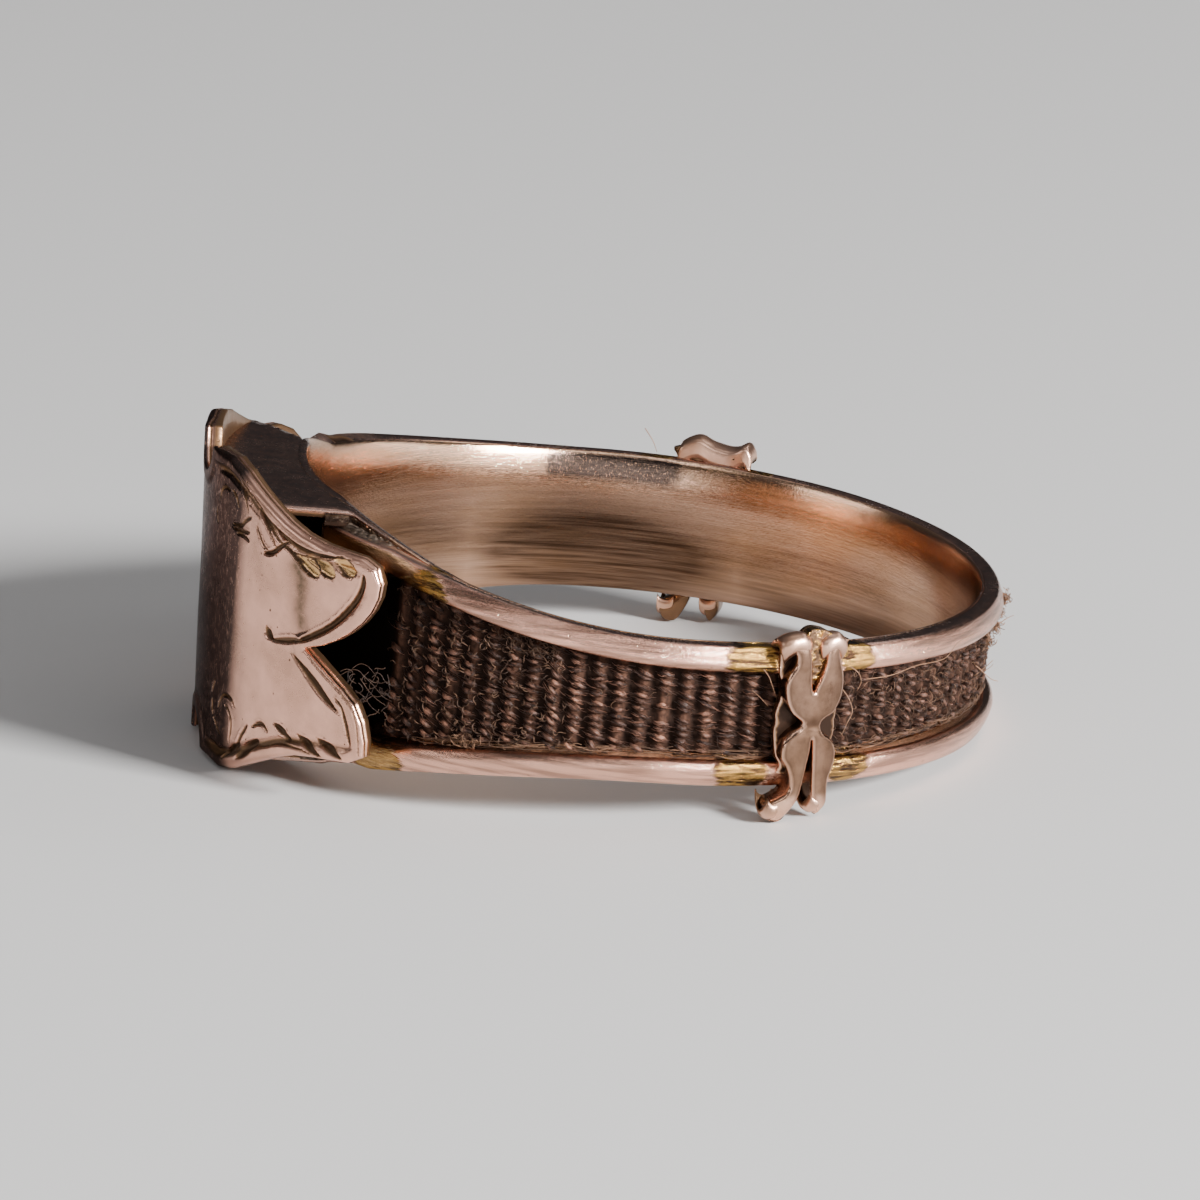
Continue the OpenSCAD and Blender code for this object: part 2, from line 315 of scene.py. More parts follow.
def filled(line, extra):
    """Triangles of a closed line with extra points inside: points, faces, line's indices."""
    points = [Vector(p) for p in np.concatenate((line, extra)).tolist()]
    made = delaunay_2d_cdt(points, [], [list(range(len(line)))], 1, 1e-5)
    index = {source: k for k, sources in enumerate(made[3]) for source in sources}
    return np.array([tuple(p) for p in made[0]]), made[2], [index[k] for k in range(len(line))]


def plate(name, line, place, material, soft, thickness, spacing, relief=None, extra=None, wall=0.0, lip=0.0,
          stains=None, rest=None):
    """A plate cut to a closed line, with softened edges. place() puts (point, lift) in space.

    soft is the edges' radius, or gives it by place. relief() gives the face's lift and how dark it is
    painted, dirt and painted shade, and a value below zero is a yellow floor. wall is how dark the walls and
    the back are painted, painted shade, and lip the depth of a fine step in them. stains() gives more marks
    of the face, painted dark reflection among them, and rest those of all other points.
    """
    line = anticlockwise(line)
    normal = outward(line)
    round_at = soft if callable(soft) else lambda flat: np.full(len(flat), soft)
    rounding = round_at(line)
    grid = grid_inside(line, spacing, spacing * 0.87, spacing / 2, lambda g: round_at(g) + spacing * 0.4)
    rows = np.concatenate([line - normal * (rounding * d)[:, None] for d in (0.12, 0.35, 0.65, 1.0)])
    rows = rows[inside(rows, line)]
    if extra is not None:
        extra = extra[inside(extra, line)]
        rows = np.concatenate((rows, extra[to_edge(extra, line) > 0.05]))
    # Points that crowd each other are thinned out, the grid's first
    every = np.concatenate((rows, grid))
    size = spacing * 0.45
    cells = {}
    for k, (x, y) in enumerate(every.tolist()):
        cells.setdefault((round(x / size), round(y / size)), k)
    flat, faces, border = filled(line, every[list(cells.values())])
    edge = to_edge(flat, line)
    here = round_at(flat)
    dip = np.clip(here - edge, 0, here)
    lift = np.sqrt(np.maximum(here**2 - dip**2, 0)) - here
    depth = np.zeros(len(flat))
    if relief:
        change, depth = relief(flat, edge)
        lift = lift + change
    points, tags = [place(flat, lift)], [depth]
    faces = [list(f) for f in faces]
    count, n = len(flat), len(line)
    # Walls with a fine step near the face, then the softened edge of the back. Walls and back are painted
    # dark by
    # wall, and the step darker still: painted shade.
    tall = thickness - rounding - 0.05
    previous = border
    steps = ((0, 0.15), (lip, 0.2), (lip, 0.3), (0, 0.35), (0, 0.6), (0, 0.97), (0.03, 1.0))
    for shrink, part in steps:
        below = -rounding - tall * part - (0.02 if part == 1 else 0)
        points.append(place(line - normal * shrink, below))
        tags.append(np.full(n, wall if part > 0.5 else 0.75 if shrink else 0.1 * wall))
        ids = list(range(count, count + n))
        count += n
        faces += [[previous[k], ids[k], ids[(k + 1) % n], previous[(k + 1) % n]] for k in range(n)]
        previous = ids
    step = max(spacing * 4, 0.3)
    wide = grid_inside(line, step, step, 0, lambda g: 0.16)
    flat_back, faces_back, border_back = filled(line - normal * 0.06, wide)
    own = dict(zip(border_back, previous))
    more = [k for k in range(len(flat_back)) if k not in own]
    own.update((k, count + i) for i, k in enumerate(more))
    points.append(place(flat_back[more], np.full(len(more), -thickness)))
    tags.append(np.full(len(more), wall))
    faces += [[own[k] for k in reversed(f)] for f in faces_back]
    points, tags = np.concatenate(points), np.concatenate(tags)
    marks = {"grain": points, "cut": np.maximum(tags, 0), "gilt": unit(-tags), **solder_marks(points)}
    for word, value in (stains(flat) if stains else {}).items():
        others = np.full(len(points) - len(value), (rest or {}).get(word, 0.0))
        marks[word] = np.concatenate((value, others))
    make(name, points, faces, material, GOLD_PART, marks)


# Wear and colour, by place

# Patches of yellow solder: angle from the back of the finger, height, radius
SOLDER = (
    (-79.6, 1.5, 0.50), (-79.8, -1.45, 0.50), (-61.6, 1.5, 0.36), (-61.4, -1.35, 0.48), (-133.0, 2.1, 0.50),
    (-138.5, -2.7, 0.55), (79.0, 1.5, 0.4), (61.5, 1.5, 0.4), (79.0, -1.4, 0.4), (61.5, -1.4, 0.4),
)
# Patches in the finger hole painted dark brown, a painted dark reflection: angle from the back, height, half
# widths of both, strength
INNER_DARK_REFLECTION = ((88, -0.9, 34, 1.8, 1.0), (126, -0.9, 30, 1.6, 0.75), (46, -0.9, 28, 1.5, 0.75),
               (-60, -0.2, 70, 1.3, 0.7), (178, -0.3, 40, 1.6, 0.7))
# A dark speckled patch with squared ends in the finger hole, with the same columns
INNER_DULL = (86.6, 1.49, 11.0, 0.29, 0.88)


def round_ring(points):
    """Radius of points, their angle from the back of the band and from the shield, in degrees."""
    x, y = points[:, 0], points[:, 1]
    return np.hypot(x, y), np.degrees(np.arctan2(y, x)), np.degrees(np.arctan2(np.abs(y), -x))


def from_angle(angle, at):
    """Degrees from one angle to another, the shorter way round."""
    return (angle - at + 180) % 360 - 180


def solder_marks(points):
    """How much solder shows at each point, from 0 to 1."""
    radius, angle, _ = round_ring(points)
    solder = np.zeros(len(points))
    for at, height, size in SOLDER:
        across = np.radians(from_angle(angle, at)) * RIM_R
        d = np.hypot(across * 0.75, points[:, 2] - height)
        solder = np.maximum(solder, unit(1.5 - d / size))
    solder[(radius < SLEEVE_R - 0.02) | (radius > RIM_R + 0.08)] = 0
    return {"solder": solder}


def painted_head_shadow(points):
    """Painted shadow: black in the hollow behind the shield, and darker in the channel's corners."""
    radius, _, turned = round_ring(points)
    height = np.abs(points[:, 2])
    hollow = unit((41.5 - turned) / 2.0) * (radius > SLEEVE_R - 0.03) * (height < 2.55)
    hollow *= np.where(radius > SLEEVE_R + 0.2, unit(24 - turned), 1)
    corner = (radius > SLEEVE_R - 0.02) & (radius < SLEEVE_R + 0.1) & (height < channel(points[:, 0]) + 0.1)
    return np.maximum(2.0 * hollow, 0.42 * corner)


def inner_marks(points):
    """Brown patches of painted dark reflection and a darker patch in the finger hole, and the colour of the
    rims beside the head.
    """
    radius, angle, turned = round_ring(points)
    within = radius < SLEEVE_R - 0.02
    brown = np.zeros(len(points))
    for at, height, wide, tall, strength in INNER_DARK_REFLECTION:
        away = np.hypot(from_angle(angle, at) / wide, (points[:, 2] - height) / tall)
        brown = np.maximum(brown, strength * unit((1.15 - away) * 1.6))
    at, height, wide, tall, strength = INNER_DULL
    ragged = 0.03 * np.sin(1.3 * angle + 2 * np.sin(0.7 * angle))
    away = np.hypot((from_angle(angle, at) / wide) ** 3, ((points[:, 2] - height) / tall) ** 3) ** (1 / 3)
    dull = strength * unit((1.15 - away - ragged) * 6.4)
    below = rim_top(points[:, 0], points[:, 1]) - np.abs(points[:, 2])
    rim = radius > SLEEVE_R + 0.2
    by_head = unit((46 - turned) / 2) * unit((below - 0.06) / 0.05) * rim
    return {"brown": np.maximum(brown * within, 0.45 * by_head), "dull": dull * within, "gilt": 0.5 * by_head,
            "satin": 2.0 * unit((50 - turned) / 4) * (below < 0.07) * rim}


class Nodes:
    """Short names for building a material's nodes."""

    def __init__(self, name):
        self.material = bpy.data.materials.new(name)
        self.material.use_nodes = True
        self.tree = self.material.node_tree
        self.shader = self.tree.nodes["Principled BSDF"]

    def feed(self, socket, value):
        if isinstance(value, bpy.types.NodeSocket):
            self.tree.links.new(value, socket)
        else:
            socket.default_value = value

    def put(self, kind, **values):
        node = self.tree.nodes.new(kind)
        for key, value in values.items():
            if key in node.inputs:
                self.feed(node.inputs[key], value)
            else:
                setattr(node, key, value)
        return node

    def shade(self, name, value):
        """Sets or feeds one of the shader's own sockets."""
        self.feed(self.shader.inputs[name], value)

    def attribute(self, name, output="Fac"):
        return self.put("ShaderNodeAttribute", attribute_name=name).outputs[output]

    def grain(self, scale):
        return self.put("ShaderNodeMapping", Vector=self.attribute("grain", "Vector"), Scale=scale).outputs[0]

    def noise(self, vector, scale, detail=3.0, roughness=0.55):
        node = self.put("ShaderNodeTexNoise", Vector=vector, Scale=scale, Detail=detail, Roughness=roughness)
        return node.outputs["Fac"]

    def cells(self, scale):
        """Distance from the nearest of many scattered places."""
        node = self.put("ShaderNodeTexVoronoi", Vector=self.attribute("grain", "Vector"), Scale=scale)
        return node.outputs["Distance"]

    def ramp(self, value, low, high, a=0.0, b=1.0):
        limits = {"From Min": low, "From Max": high, "To Min": a, "To Max": b}
        return self.put("ShaderNodeMapRange", Value=value, **limits).outputs[0]

    def math(self, operation, a, b):
        node = self.put("ShaderNodeMath", operation=operation)
        self.feed(node.inputs[0], a)
        self.feed(node.inputs[1], b)
        return node.outputs[0]

    def times(self, a, b):
        return self.math("MULTIPLY", a, b)

    def plus(self, a, b):
        return self.math("ADD", a, b)

    def mix(self, factor, a, b):
        node = self.put("ShaderNodeMix", data_type="RGBA")
        for socket, value in ((0, factor), (6, a), (7, b)):
            self.feed(node.inputs[socket], value)
        return node.outputs[2]

    def bump(self, height, distance, strength, after=None):
        node = self.put("ShaderNodeBump", Height=height, Distance=distance, Strength=strength)
        if after is not None:
            self.feed(node.inputs["Normal"], after)
        return node.outputs[0]


ROSE = (0.97, 0.535, 0.395, 1)
ROSE_DEEP = (0.70, 0.39, 0.28, 1)
YELLOW = (0.40, 0.225, 0.06, 1)
GILT = (0.78, 0.47, 0.19, 1)
DARKENED_TONE = (0.075, 0.060, 0.058, 1)
GREEN = (0.055, 0.056, 0.030, 1)
BROWN = (0.058, 0.032, 0.019, 1)
STAIN_AND_SHADE = (0.22, 0.12, 0.06, 1)
STREAK = (0.15, 0.085, 0.06, 1)
GRIME_AND_SHADE = (0.040, 0.020, 0.011, 1)
SHADOW_BLACK = (0.006, 0.004, 0.0035, 1)
TARNISH = (0.25, 0.18, 0.16, 1)
CRUMB = (0.95, 0.85, 0.78, 1)
CLEAR_SHINE = (1, 1, 1, 1)
DIMMED_SHINE = (0.36, 0.33, 0.33, 1)


def gold(name, rough, stretch, scratch, base=ROSE, deep=ROSE_DEEP, tarnish=0.0, streaks=0.0,
         patches=(1, 1, 1), rub=0.45, pits=0.45):
    """Worn, polished rose gold. stretch gives the direction of the brush marks."""
    n = Nodes(name)

    def brushed(times, scale, detail, roughness):
        return n.noise(n.grain([times * k for k in stretch]), scale, detail, roughness)

    here = n.attribute("grain", "Vector")
    cloud = n.noise(n.grain(patches), 0.9, 4.0)
    marks = brushed(1, 9.0, 4.0, 0.6)
    pit = n.ramp(n.cells(2.2), 0.04, 0.08, 1.0, 0.0)
    cut = n.attribute("cut")
    filed = n.noise(n.grain((0.25, 0.25, 1.8)), 5.0, 5.0, 0.7)
    torn = n.times(n.noise(n.grain((0.35, 0.35, 2.0)), 3.2, 4.0, 0.65), 1.1)
    ragged = n.ramp(n.plus(n.attribute("solder"), torn), 0.9, 1.1)
    colour = n.mix(n.ramp(cloud, 0.35, 0.7), base, deep)
    # Darker streaks along the brush marks: partly tarnish, partly painted dark reflection
    if streaks:
        broad = brushed(0.25, 9.0, 3.0, 0.5)
        colour = n.mix(n.ramp(broad, 0.44, 0.62, 0.0, streaks), colour, STREAK)
    if tarnish:
        grey = n.ramp(n.noise(here, 3.5, 6.0, 0.7), 0.38, 0.62, tarnish, tarnish * 0.6)
        colour = n.mix(n.times(grey, n.ramp(n.cells(9.0), 0.10, 0.16)), colour, TARNISH)
        colour = n.mix(n.ramp(n.cells(4.3), 0.07, 0.10, 1.0, 0.0), colour, CRUMB)
    # Places painted dark between lighter upright scratches: painted dark reflection on the shield, painted
    # shade in the solder's hollows and under it, and a dark patch in the finger hole. Then green patina, and
    # brown patches, which in the finger hole are painted dark reflection
    upright = n.ramp(n.noise(n.grain((9, 9, 0.7)), 5.0, 3.0, 0.65), 0.60, 0.66, 1.0, 0.12)
    dark = n.times(n.attribute("dull"), n.times(n.ramp(n.cells(7.0), 0.07, 0.12), upright))
    colour = n.mix(dark, colour, DARKENED_TONE)
    colour = n.mix(n.times(n.attribute("green"), n.ramp(marks, 0.3, 0.6, 1.0, 0.6)), colour, GREEN)
    rubbed = n.ramp(brushed(0.5, 6.0, 4.0, 0.6), 0.35, 0.65, 1.0, rub)
    colour = n.mix(n.times(n.attribute("brown"), rubbed), colour, BROWN)
    colour = n.mix(ragged, colour, n.mix(n.ramp(filed, 0.42, 0.55), GRIME_AND_SHADE, YELLOW))
    sparkle = n.ramp(n.noise(here, 14.0, 3.0, 0.7), 0.30, 0.36)
    colour = n.mix(n.attribute("gilt"), colour, n.mix(sparkle, STAIN_AND_SHADE, GILT))
    # The darkening: dirt in the engraved cuts and pits, and painted shade on the plates' walls and backs, in
    # the shield border's trough, in hollows and under parts. Cut marks from 1 to 2 are painted black shadow
    dirt_and_shade = n.math("MAXIMUM", cut, n.times(pit, pits))
    colour = n.mix(n.ramp(dirt_and_shade, 0.0, 0.5), colour, STAIN_AND_SHADE)
    colour = n.mix(n.ramp(dirt_and_shade, 0.45, 1.0), colour, GRIME_AND_SHADE)
    colour = n.mix(n.ramp(cut, 1.0, 2.0), colour, SHADOW_BLACK)
    n.shade("Base Color", colour)
    # The shine is dimmed where the colour is painted dark and where it is dirty
    dimmed = n.math("MAXIMUM", dark, n.ramp(dirt_and_shade, 0.7, 1.2))
    n.shade("Specular Tint", n.mix(dimmed, CLEAR_SHINE, DIMMED_SHINE))
    n.shade("Metallic", n.ramp(dirt_and_shade, 0.3, 1.0, 1.0, 0.6))
    roughness = n.ramp(n.plus(n.times(cloud, 0.6), n.times(marks, 0.4)), 0.35, 0.65, *rough)
    roughness = n.plus(roughness, n.times(ragged, 0.03))
    roughness = n.plus(roughness, n.ramp(dirt_and_shade, 0.0, 1.0, 0.0, 0.15))
    n.shade("Roughness", n.plus(roughness, n.times(n.attribute("satin"), 0.07)))
    normal = n.bump(marks, 0.000012, scratch)
    normal = n.bump(brushed(5, 9.0, 2.0, 0.5), 0.000006, scratch, normal)
    normal = n.bump(pit, -0.00003, 1.7 * pits, normal)
    normal = n.bump(n.noise(here, 14.0), 0.000008, 0.5, normal)
    n.shade("Normal", n.bump(n.times(ragged, filed), 0.00006, 0.8, normal))
    return n.material


GOLD_SHIELD = gold("rose_gold_shield", (0.20, 0.30), (0.5, 0.5, 0.5), 0.25)
GOLD_BAND = gold("rose_gold_band", (0.14, 0.24), (0.2, 0.2, 3.0), 0.8, streaks=0.6, patches=(0.15, 0.5, 0.8))
GOLD_INNER = gold("rose_gold_inside", (0.09, 0.18), (0.1, 0.1, 4.0), 0.25, (0.86, 0.55, 0.38, 1),
                  (0.64, 0.37, 0.20, 1), streaks=0.2, patches=(0.3, 0.3, 1.1), rub=0.78, pits=0.0)
GOLD_TOP = gold("rose_gold_edges", (0.18, 0.30), (1, 1, 1), 0.3, tarnish=0.9)
GOLD_RAMP = gold("rose_gold_gritty", (0.26, 0.36), (1, 1, 1), 0.6, (0.62, 0.48, 0.38, 1),
                 (0.36, 0.27, 0.20, 1))
GOLD_CLIP = gold("rose_gold_clips", (0.15, 0.22), (0.8, 0.8, 0.8), 0.3, (0.84, 0.51, 0.37, 1),
                 (0.60, 0.35, 0.23, 1), rub=0.9, pits=0.0)


# Band


def flare(x, radius):
    """Half the band's height at a place along the ring, before the head."""
    ahead = np.clip(FLARE_START - x, 0, None)
    back = np.clip(x - FLARE_START, 0, None) * BACK_SLOPE
    return SIDE_H / 2 - back + radius - np.sqrt(radius**2 - ahead**2)


def near_top(x):
    return np.minimum(flare(x, FLARE_NEAR), RIM_TOP)


def channel(x):
    """Half the height of the hair's channel."""
    return near_top(x) - RIM_H


def shelf_top(x):
    return np.where(x < -SHELF_BEND, SHELF_Z, SHELF_Z - (x + SHELF_BEND) * SHELF_SLOPE)


def far_limit(x, y, top):
    """The far side is lower, with a slope up to the head."""
    slope = np.where(x < -FAR_BEND, 99.0, SHELF_Z - (x + FAR_BEND) * FAR_SLOPE)
    return np.where(y > 0, np.minimum(top, np.maximum(flare(x, FLARE_FAR), slope)), top)


def rim_top(x, y):
    at, width, deep = RIM_DIP
    turned = np.degrees(np.arctan2(y, -x))
    return far_limit(x, y, near_top(x)) - deep * np.exp(-(((turned - at) / width) ** 2))


def sleeve_top(x, y):
    return far_limit(x, y, np.maximum(near_top(x), np.where(x < -5.7, shelf_top(x), 0)))


def wander(angle, height, size, seed):
    """A slow waviness round the ring, as hand-made metal has."""
    slow = np.sin(3 * angle + seed) + 0.6 * np.sin(7 * angle + 2.1 * seed)
    return size * (slow + 0.4 * np.sin(13 * angle + height))


def sweep(name, angles, section, material, closed):
    """A piece swept round the finger. section(angles) gives radius and height of each corner."""
    radius, height = section(angles)
    points = ring_points(angles[:, None], radius, height).reshape(-1, 3)
    # The grain runs on over the seam, and differs on the near and the far side
    arc = np.broadcast_to(((np.pi - np.abs(angles - np.pi)) * RIM_R)[:, None], radius.shape)
    grain = np.stack((arc, radius + 4 * np.sin(angles)[:, None], height), -1).reshape(-1, 3)
    marks = {"grain": grain, "cut": painted_head_shadow(points), **inner_marks(points), **solder_marks(points)}
    return make(name, points, tube_faces(*radius.shape, closed), material, GOLD_PART, marks)


# The inside edge is worn round: height below the edge, distance outwards
WORN_EDGE = (1.10, 0.0, 0.85, 0.008, 0.62, 0.030, 0.45, 0.060, 0.30, 0.092, 0.20, 0.117, 0.12, 0.142,
             0.06, 0.165, 0.02, 0.19, 0.0, 0.205)


def sleeve_section(angles):
    turned = np.degrees(angles)
    one = np.ones_like(angles)
    worn = 0.1 + 0.9 * unit(np.minimum(turned - 48, 345 - turned) / 5)
    thick = SLEEVE_R - BORE_R
    edge = [(drop, BORE_R + out * worn) for drop, out in pairs(WORN_EDGE)]
    edge += [(drop, BORE_R + out * one) for drop, out in ((0.01, thick - 0.01), (0.05, thick))]
    r = [radius for _, radius in edge]
    z = [sleeve_top(-radius * np.cos(angles), -radius * np.sin(angles)) - drop for drop, radius in edge]
    middle = np.linspace(1, -1, 9)[1:-1]
    radii = r + [SLEEVE_R * one for _ in middle] + r[::-1] + [BORE_R * one for _ in middle]
    heights = z + [z[-1] * m for m in middle] + [-h for h in z[::-1]] + [-z[0] * m for m in middle]
    return np.stack(radii, 1), np.stack(heights, 1)


# The rims' rounded outer wall: distance inwards, part of the height from the top or the bottom
RIM_SWELL = 0.022
RIM_WORN_TOP = (0.26, 0.0, 0.20, 0.012, 0.165, 0.04, 0.14, 0.09, 0.115, 0.16, 0.085, 0.25, 0.055, 0.36,
                0.03, 0.47, 0.012, 0.58)
RIM_WORN_LOW = (0.0, 0.34, 0.012, 0.24, 0.034, 0.16, 0.065, 0.09, 0.10, 0.04, 0.15, 0.012, 0.20, 0.0)


def rim_section(angles, side):
    inner = np.full(len(angles), SLEEVE_R - 0.012)
    outer = RIM_R + wander(angles, side, 0.008, 1.3 * side)
    x_in, x_out = -inner * np.cos(angles), -outer * np.cos(angles)
    top_in = rim_top(x_in, -inner * np.sin(angles)) - 0.01
    top_out = rim_top(x_out, -outer * np.sin(angles)) + wander(angles, 0, 0.008, 2 + side)
    low_out = channel(x_out) + wander(angles, 2, 0.012, 4 + side)
    tall = top_out - low_out
    worn = 0.3 + 0.7 * unit((180 - np.abs(np.degrees(angles) - 180) - 40) / 12)
    radii, heights = [inner, inner + 0.04], [top_in - 0.04, top_in]
    for inset, drop in pairs(RIM_WORN_TOP):
        radii.append(outer + (RIM_SWELL - inset) * worn)
        heights.append(top_out - drop * tall * worn)
    for inset, rise in pairs(RIM_WORN_LOW):
        radii.append(outer + RIM_SWELL - inset)
        heights.append(low_out + rise * tall)
    return np.stack(radii + [inner], 1), side * np.stack(heights + [channel(x_in)], 1)


def band():
    whole = np.radians(np.linspace(0, 360, 481)[:-1])
    part = np.radians(np.linspace(RIM_END, 360 - RIM_END, 481))
    pieces = [(sweep("sleeve", whole, sleeve_section, GOLD_INNER, True), 0)]
    for name, side in (("upper_rim", 1), ("lower_rim", -1)):
        pieces.append((sweep(name, part, lambda a: rim_section(a, side), GOLD_BAND, False), 1))
    # The flat upper and lower edges are duller than the walls
    for piece, is_rim in pieces:
        piece.data.materials.append(GOLD_TOP)
        for polygon in piece.data.polygons:
            normal = turn_y(np.array(polygon.normal), -LEAN)
            centre = turn_y(np.array(polygon.center) / MM, -LEAN)
            level = abs(normal[2]) > 0.8 and len(polygon.vertices) == 4
            if level and abs(centre[2]) - is_rim * channel(centre[0]) > 0.3:
                polygon.material_index = 1


# Head shelves, and the solder before them

# The shelf's edge at the finger hole, its Y at the far end, and the degrees that it covers of the shield
SHELF_BORE = 8.78
SHELF_FAR_Y = 2.2
SHELF_BACK = (-32, 28)
NEAR_EDGE = (-8.12, -4.35, -7.75, -4.8, -7.4, -5.18, -6.95, -5.6, -6.5, -5.96)
FAR_EDGE = (-8.69, 2.75, -9.13, 3.5, -9.6, 4.05, -9.95, 4.3)
RAMP_EDGE = (-8.83, -4.34, -8.5, -4.35, -8.1, -4.36, -7.75, -4.79, -7.4, -5.17, -6.95, -5.58, -6.5, -5.97,
             -6.19, -6.30)
# The solder's lower edge on the rim, in degrees from the shield
RAMP_ENDS = (22.6, 44.5)


def shelf_height(x):
    return shelf_top(x) - 0.012


def shelf(name, side):
    """The plate between the finger hole and the back of the shield."""
    near = pairs(NEAR_EDGE)
    start, end = math.atan2(-near[-1, 1], -near[-1, 0]), -math.asin(SHELF_FAR_Y / SHELF_BORE)
    bore = ring_points(np.linspace(start, end, 60), SHELF_BORE, 0)[:, :2]
    turn = np.radians(np.linspace(*SHELF_BACK, 24))
    behind = from_plate(ring_points(turn, PLATE_R - 0.3, side * 3.2))[:, :2]
    line = dense_line(np.concatenate((bore, pairs(FAR_EDGE), behind, near)), 0.12)

    def place(flat, lift):
        return np.column_stack((flat, side * (shelf_height(flat[:, 0]) + lift)))

    plate(name, line, place, GOLD_TOP, 0.05, 0.27, 0.25, wall=0.9)


def ramp(name, side):
    """Granular solder drawn from the shelf's edge down to the rim's outer edge."""
    edge = smooth_line(pairs(RAMP_EDGE), 0.035, closed=False)
    t = np.linspace(0, 1, len(edge))
    first_end, last_end = RAMP_ENDS
    rim = ring_points(np.radians(first_end + (last_end - first_end) * t**0.9), RIM_R - 0.09, 0)[:, :2]
    top = shelf_height(edge[:, 0]) - 0.045
    low = np.minimum(rim_top(rim[:, 0], rim[:, 1]) + 0.005, top - 0.04)
    across = np.linspace(0, 1, 30)
    away = leftward(np.gradient(edge, axis=0))
    front = edge - 0.03 * away * np.sign(away[:, 1:])
    then = unit((across - 0.4) / 0.6)
    flat = front[:, None] * (1 - then)[:, None] + rim[:, None] * then[:, None]
    step = np.minimum(0.27, 0.5 * (top - low))[:, None]
    fallen = (top - low - 0.06)[:, None] * then
    height = top[:, None] - 0.06 - step * unit(across / 0.4) - fallen + step * then
    lumps = rng.normal(0, 1, height.shape)
    for _ in range(2):
        lumps = (lumps + sum(np.roll(lumps, way, axis) for axis in (0, 1) for way in (1, -1))) / 5
    height = height + 0.05 * lumps * unit(1.6 * np.sin(np.pi * across)) * unit(0.2 + 2.4 * t)[:, None]
    upper = np.concatenate((flat, height[..., None]), -1).reshape(-1, 3)
    points = np.concatenate((upper, upper - (0, 0, 0.1))) * (1, 1, side)
    # Darker in the hollows between the lumps, and black underneath: painted shade
    dark = np.clip(0.1 - 1.8 * lumps, 0.0, 0.8).ravel()
    brown = np.repeat(0.7 * unit(1.2 - t / 0.3), len(across))
    under = np.full(len(dark), 1.5)
    marks = {"grain": points, "cut": np.concatenate((0 * dark, under)), "dull": np.concatenate((dark, under)),
             "brown": np.tile(brown, 2), **solder_marks(points)}
    make(name, points, shell_faces(*height.shape), GOLD_RAMP, GOLD_PART, marks)


# Shield

PLATE_POINT = (2.4, 4.12, 3.1, 3.95, 4.1, 3.5, 4.9, 3.12, 5.4, 2.92)
NEAR_UPPER = (5.95, 2.79, 6.8, 2.69, 7.05, 2.5, 7.15, 2.1, 7.12, 1.72, 7.02, 1.35, 6.86, 1.01, 6.64, 0.69,
              6.36, 0.41, 6.05, 0.19, 5.75, 0.06)
NEAR_LOWER = (5.95, 2.81, 6.7, 2.73, 6.98, 2.5, 7.0, 2.1, 6.93, 1.6, 6.78, 1.15, 6.54, 0.82, 6.22, 0.5,
              5.88, 0.2)
FAR_LOBE = (5.9, 2.86, 6.3, 2.63, 6.62, 2.22, 6.8, 1.82, 6.78, 1.38, 6.6, 0.9, 6.32, 0.48, 5.98, 0.18)
# Posts: their sides in degrees from the shield, their outer ends' radii there, and their height
POST_ANGLES = (33, 37)
POST_OUT = (10.05, 10.15)
POST_Z = 2.3
NOTCH_R = 1.0
NOTCH_Z = 4.2
WAIST = (5.6, 0.0)


def shield_line():
    """The shield's outline round its face, with the notches between the points."""
    turn = np.radians(range(0, 81, 16))
    notch = np.stack((NOTCH_R * np.sin(turn), NOTCH_Z - NOTCH_R * np.cos(turn)), 1)

    def half(upper, lower, way):
        top, low = (np.concatenate((notch, pairs(PLATE_POINT + lobe))) for lobe in (upper, lower))
        whole = np.concatenate((top, [WAIST], low[::-1] * (1, -1)))
        return np.stack((way * PLATE_R * np.arcsin(whole[:, 0] / PLATE_R), whole[:, 1]), 1)

    corners = np.concatenate((half(NEAR_UPPER, NEAR_LOWER, 1), half(FAR_LOBE, FAR_LOBE, -1)[::-1]))
    # The places where the halves meet are in both
    apart = np.linalg.norm(np.roll(corners, -1, 0) - corners, axis=1) > 0.02
    return dense_line(corners[apart], 0.07)


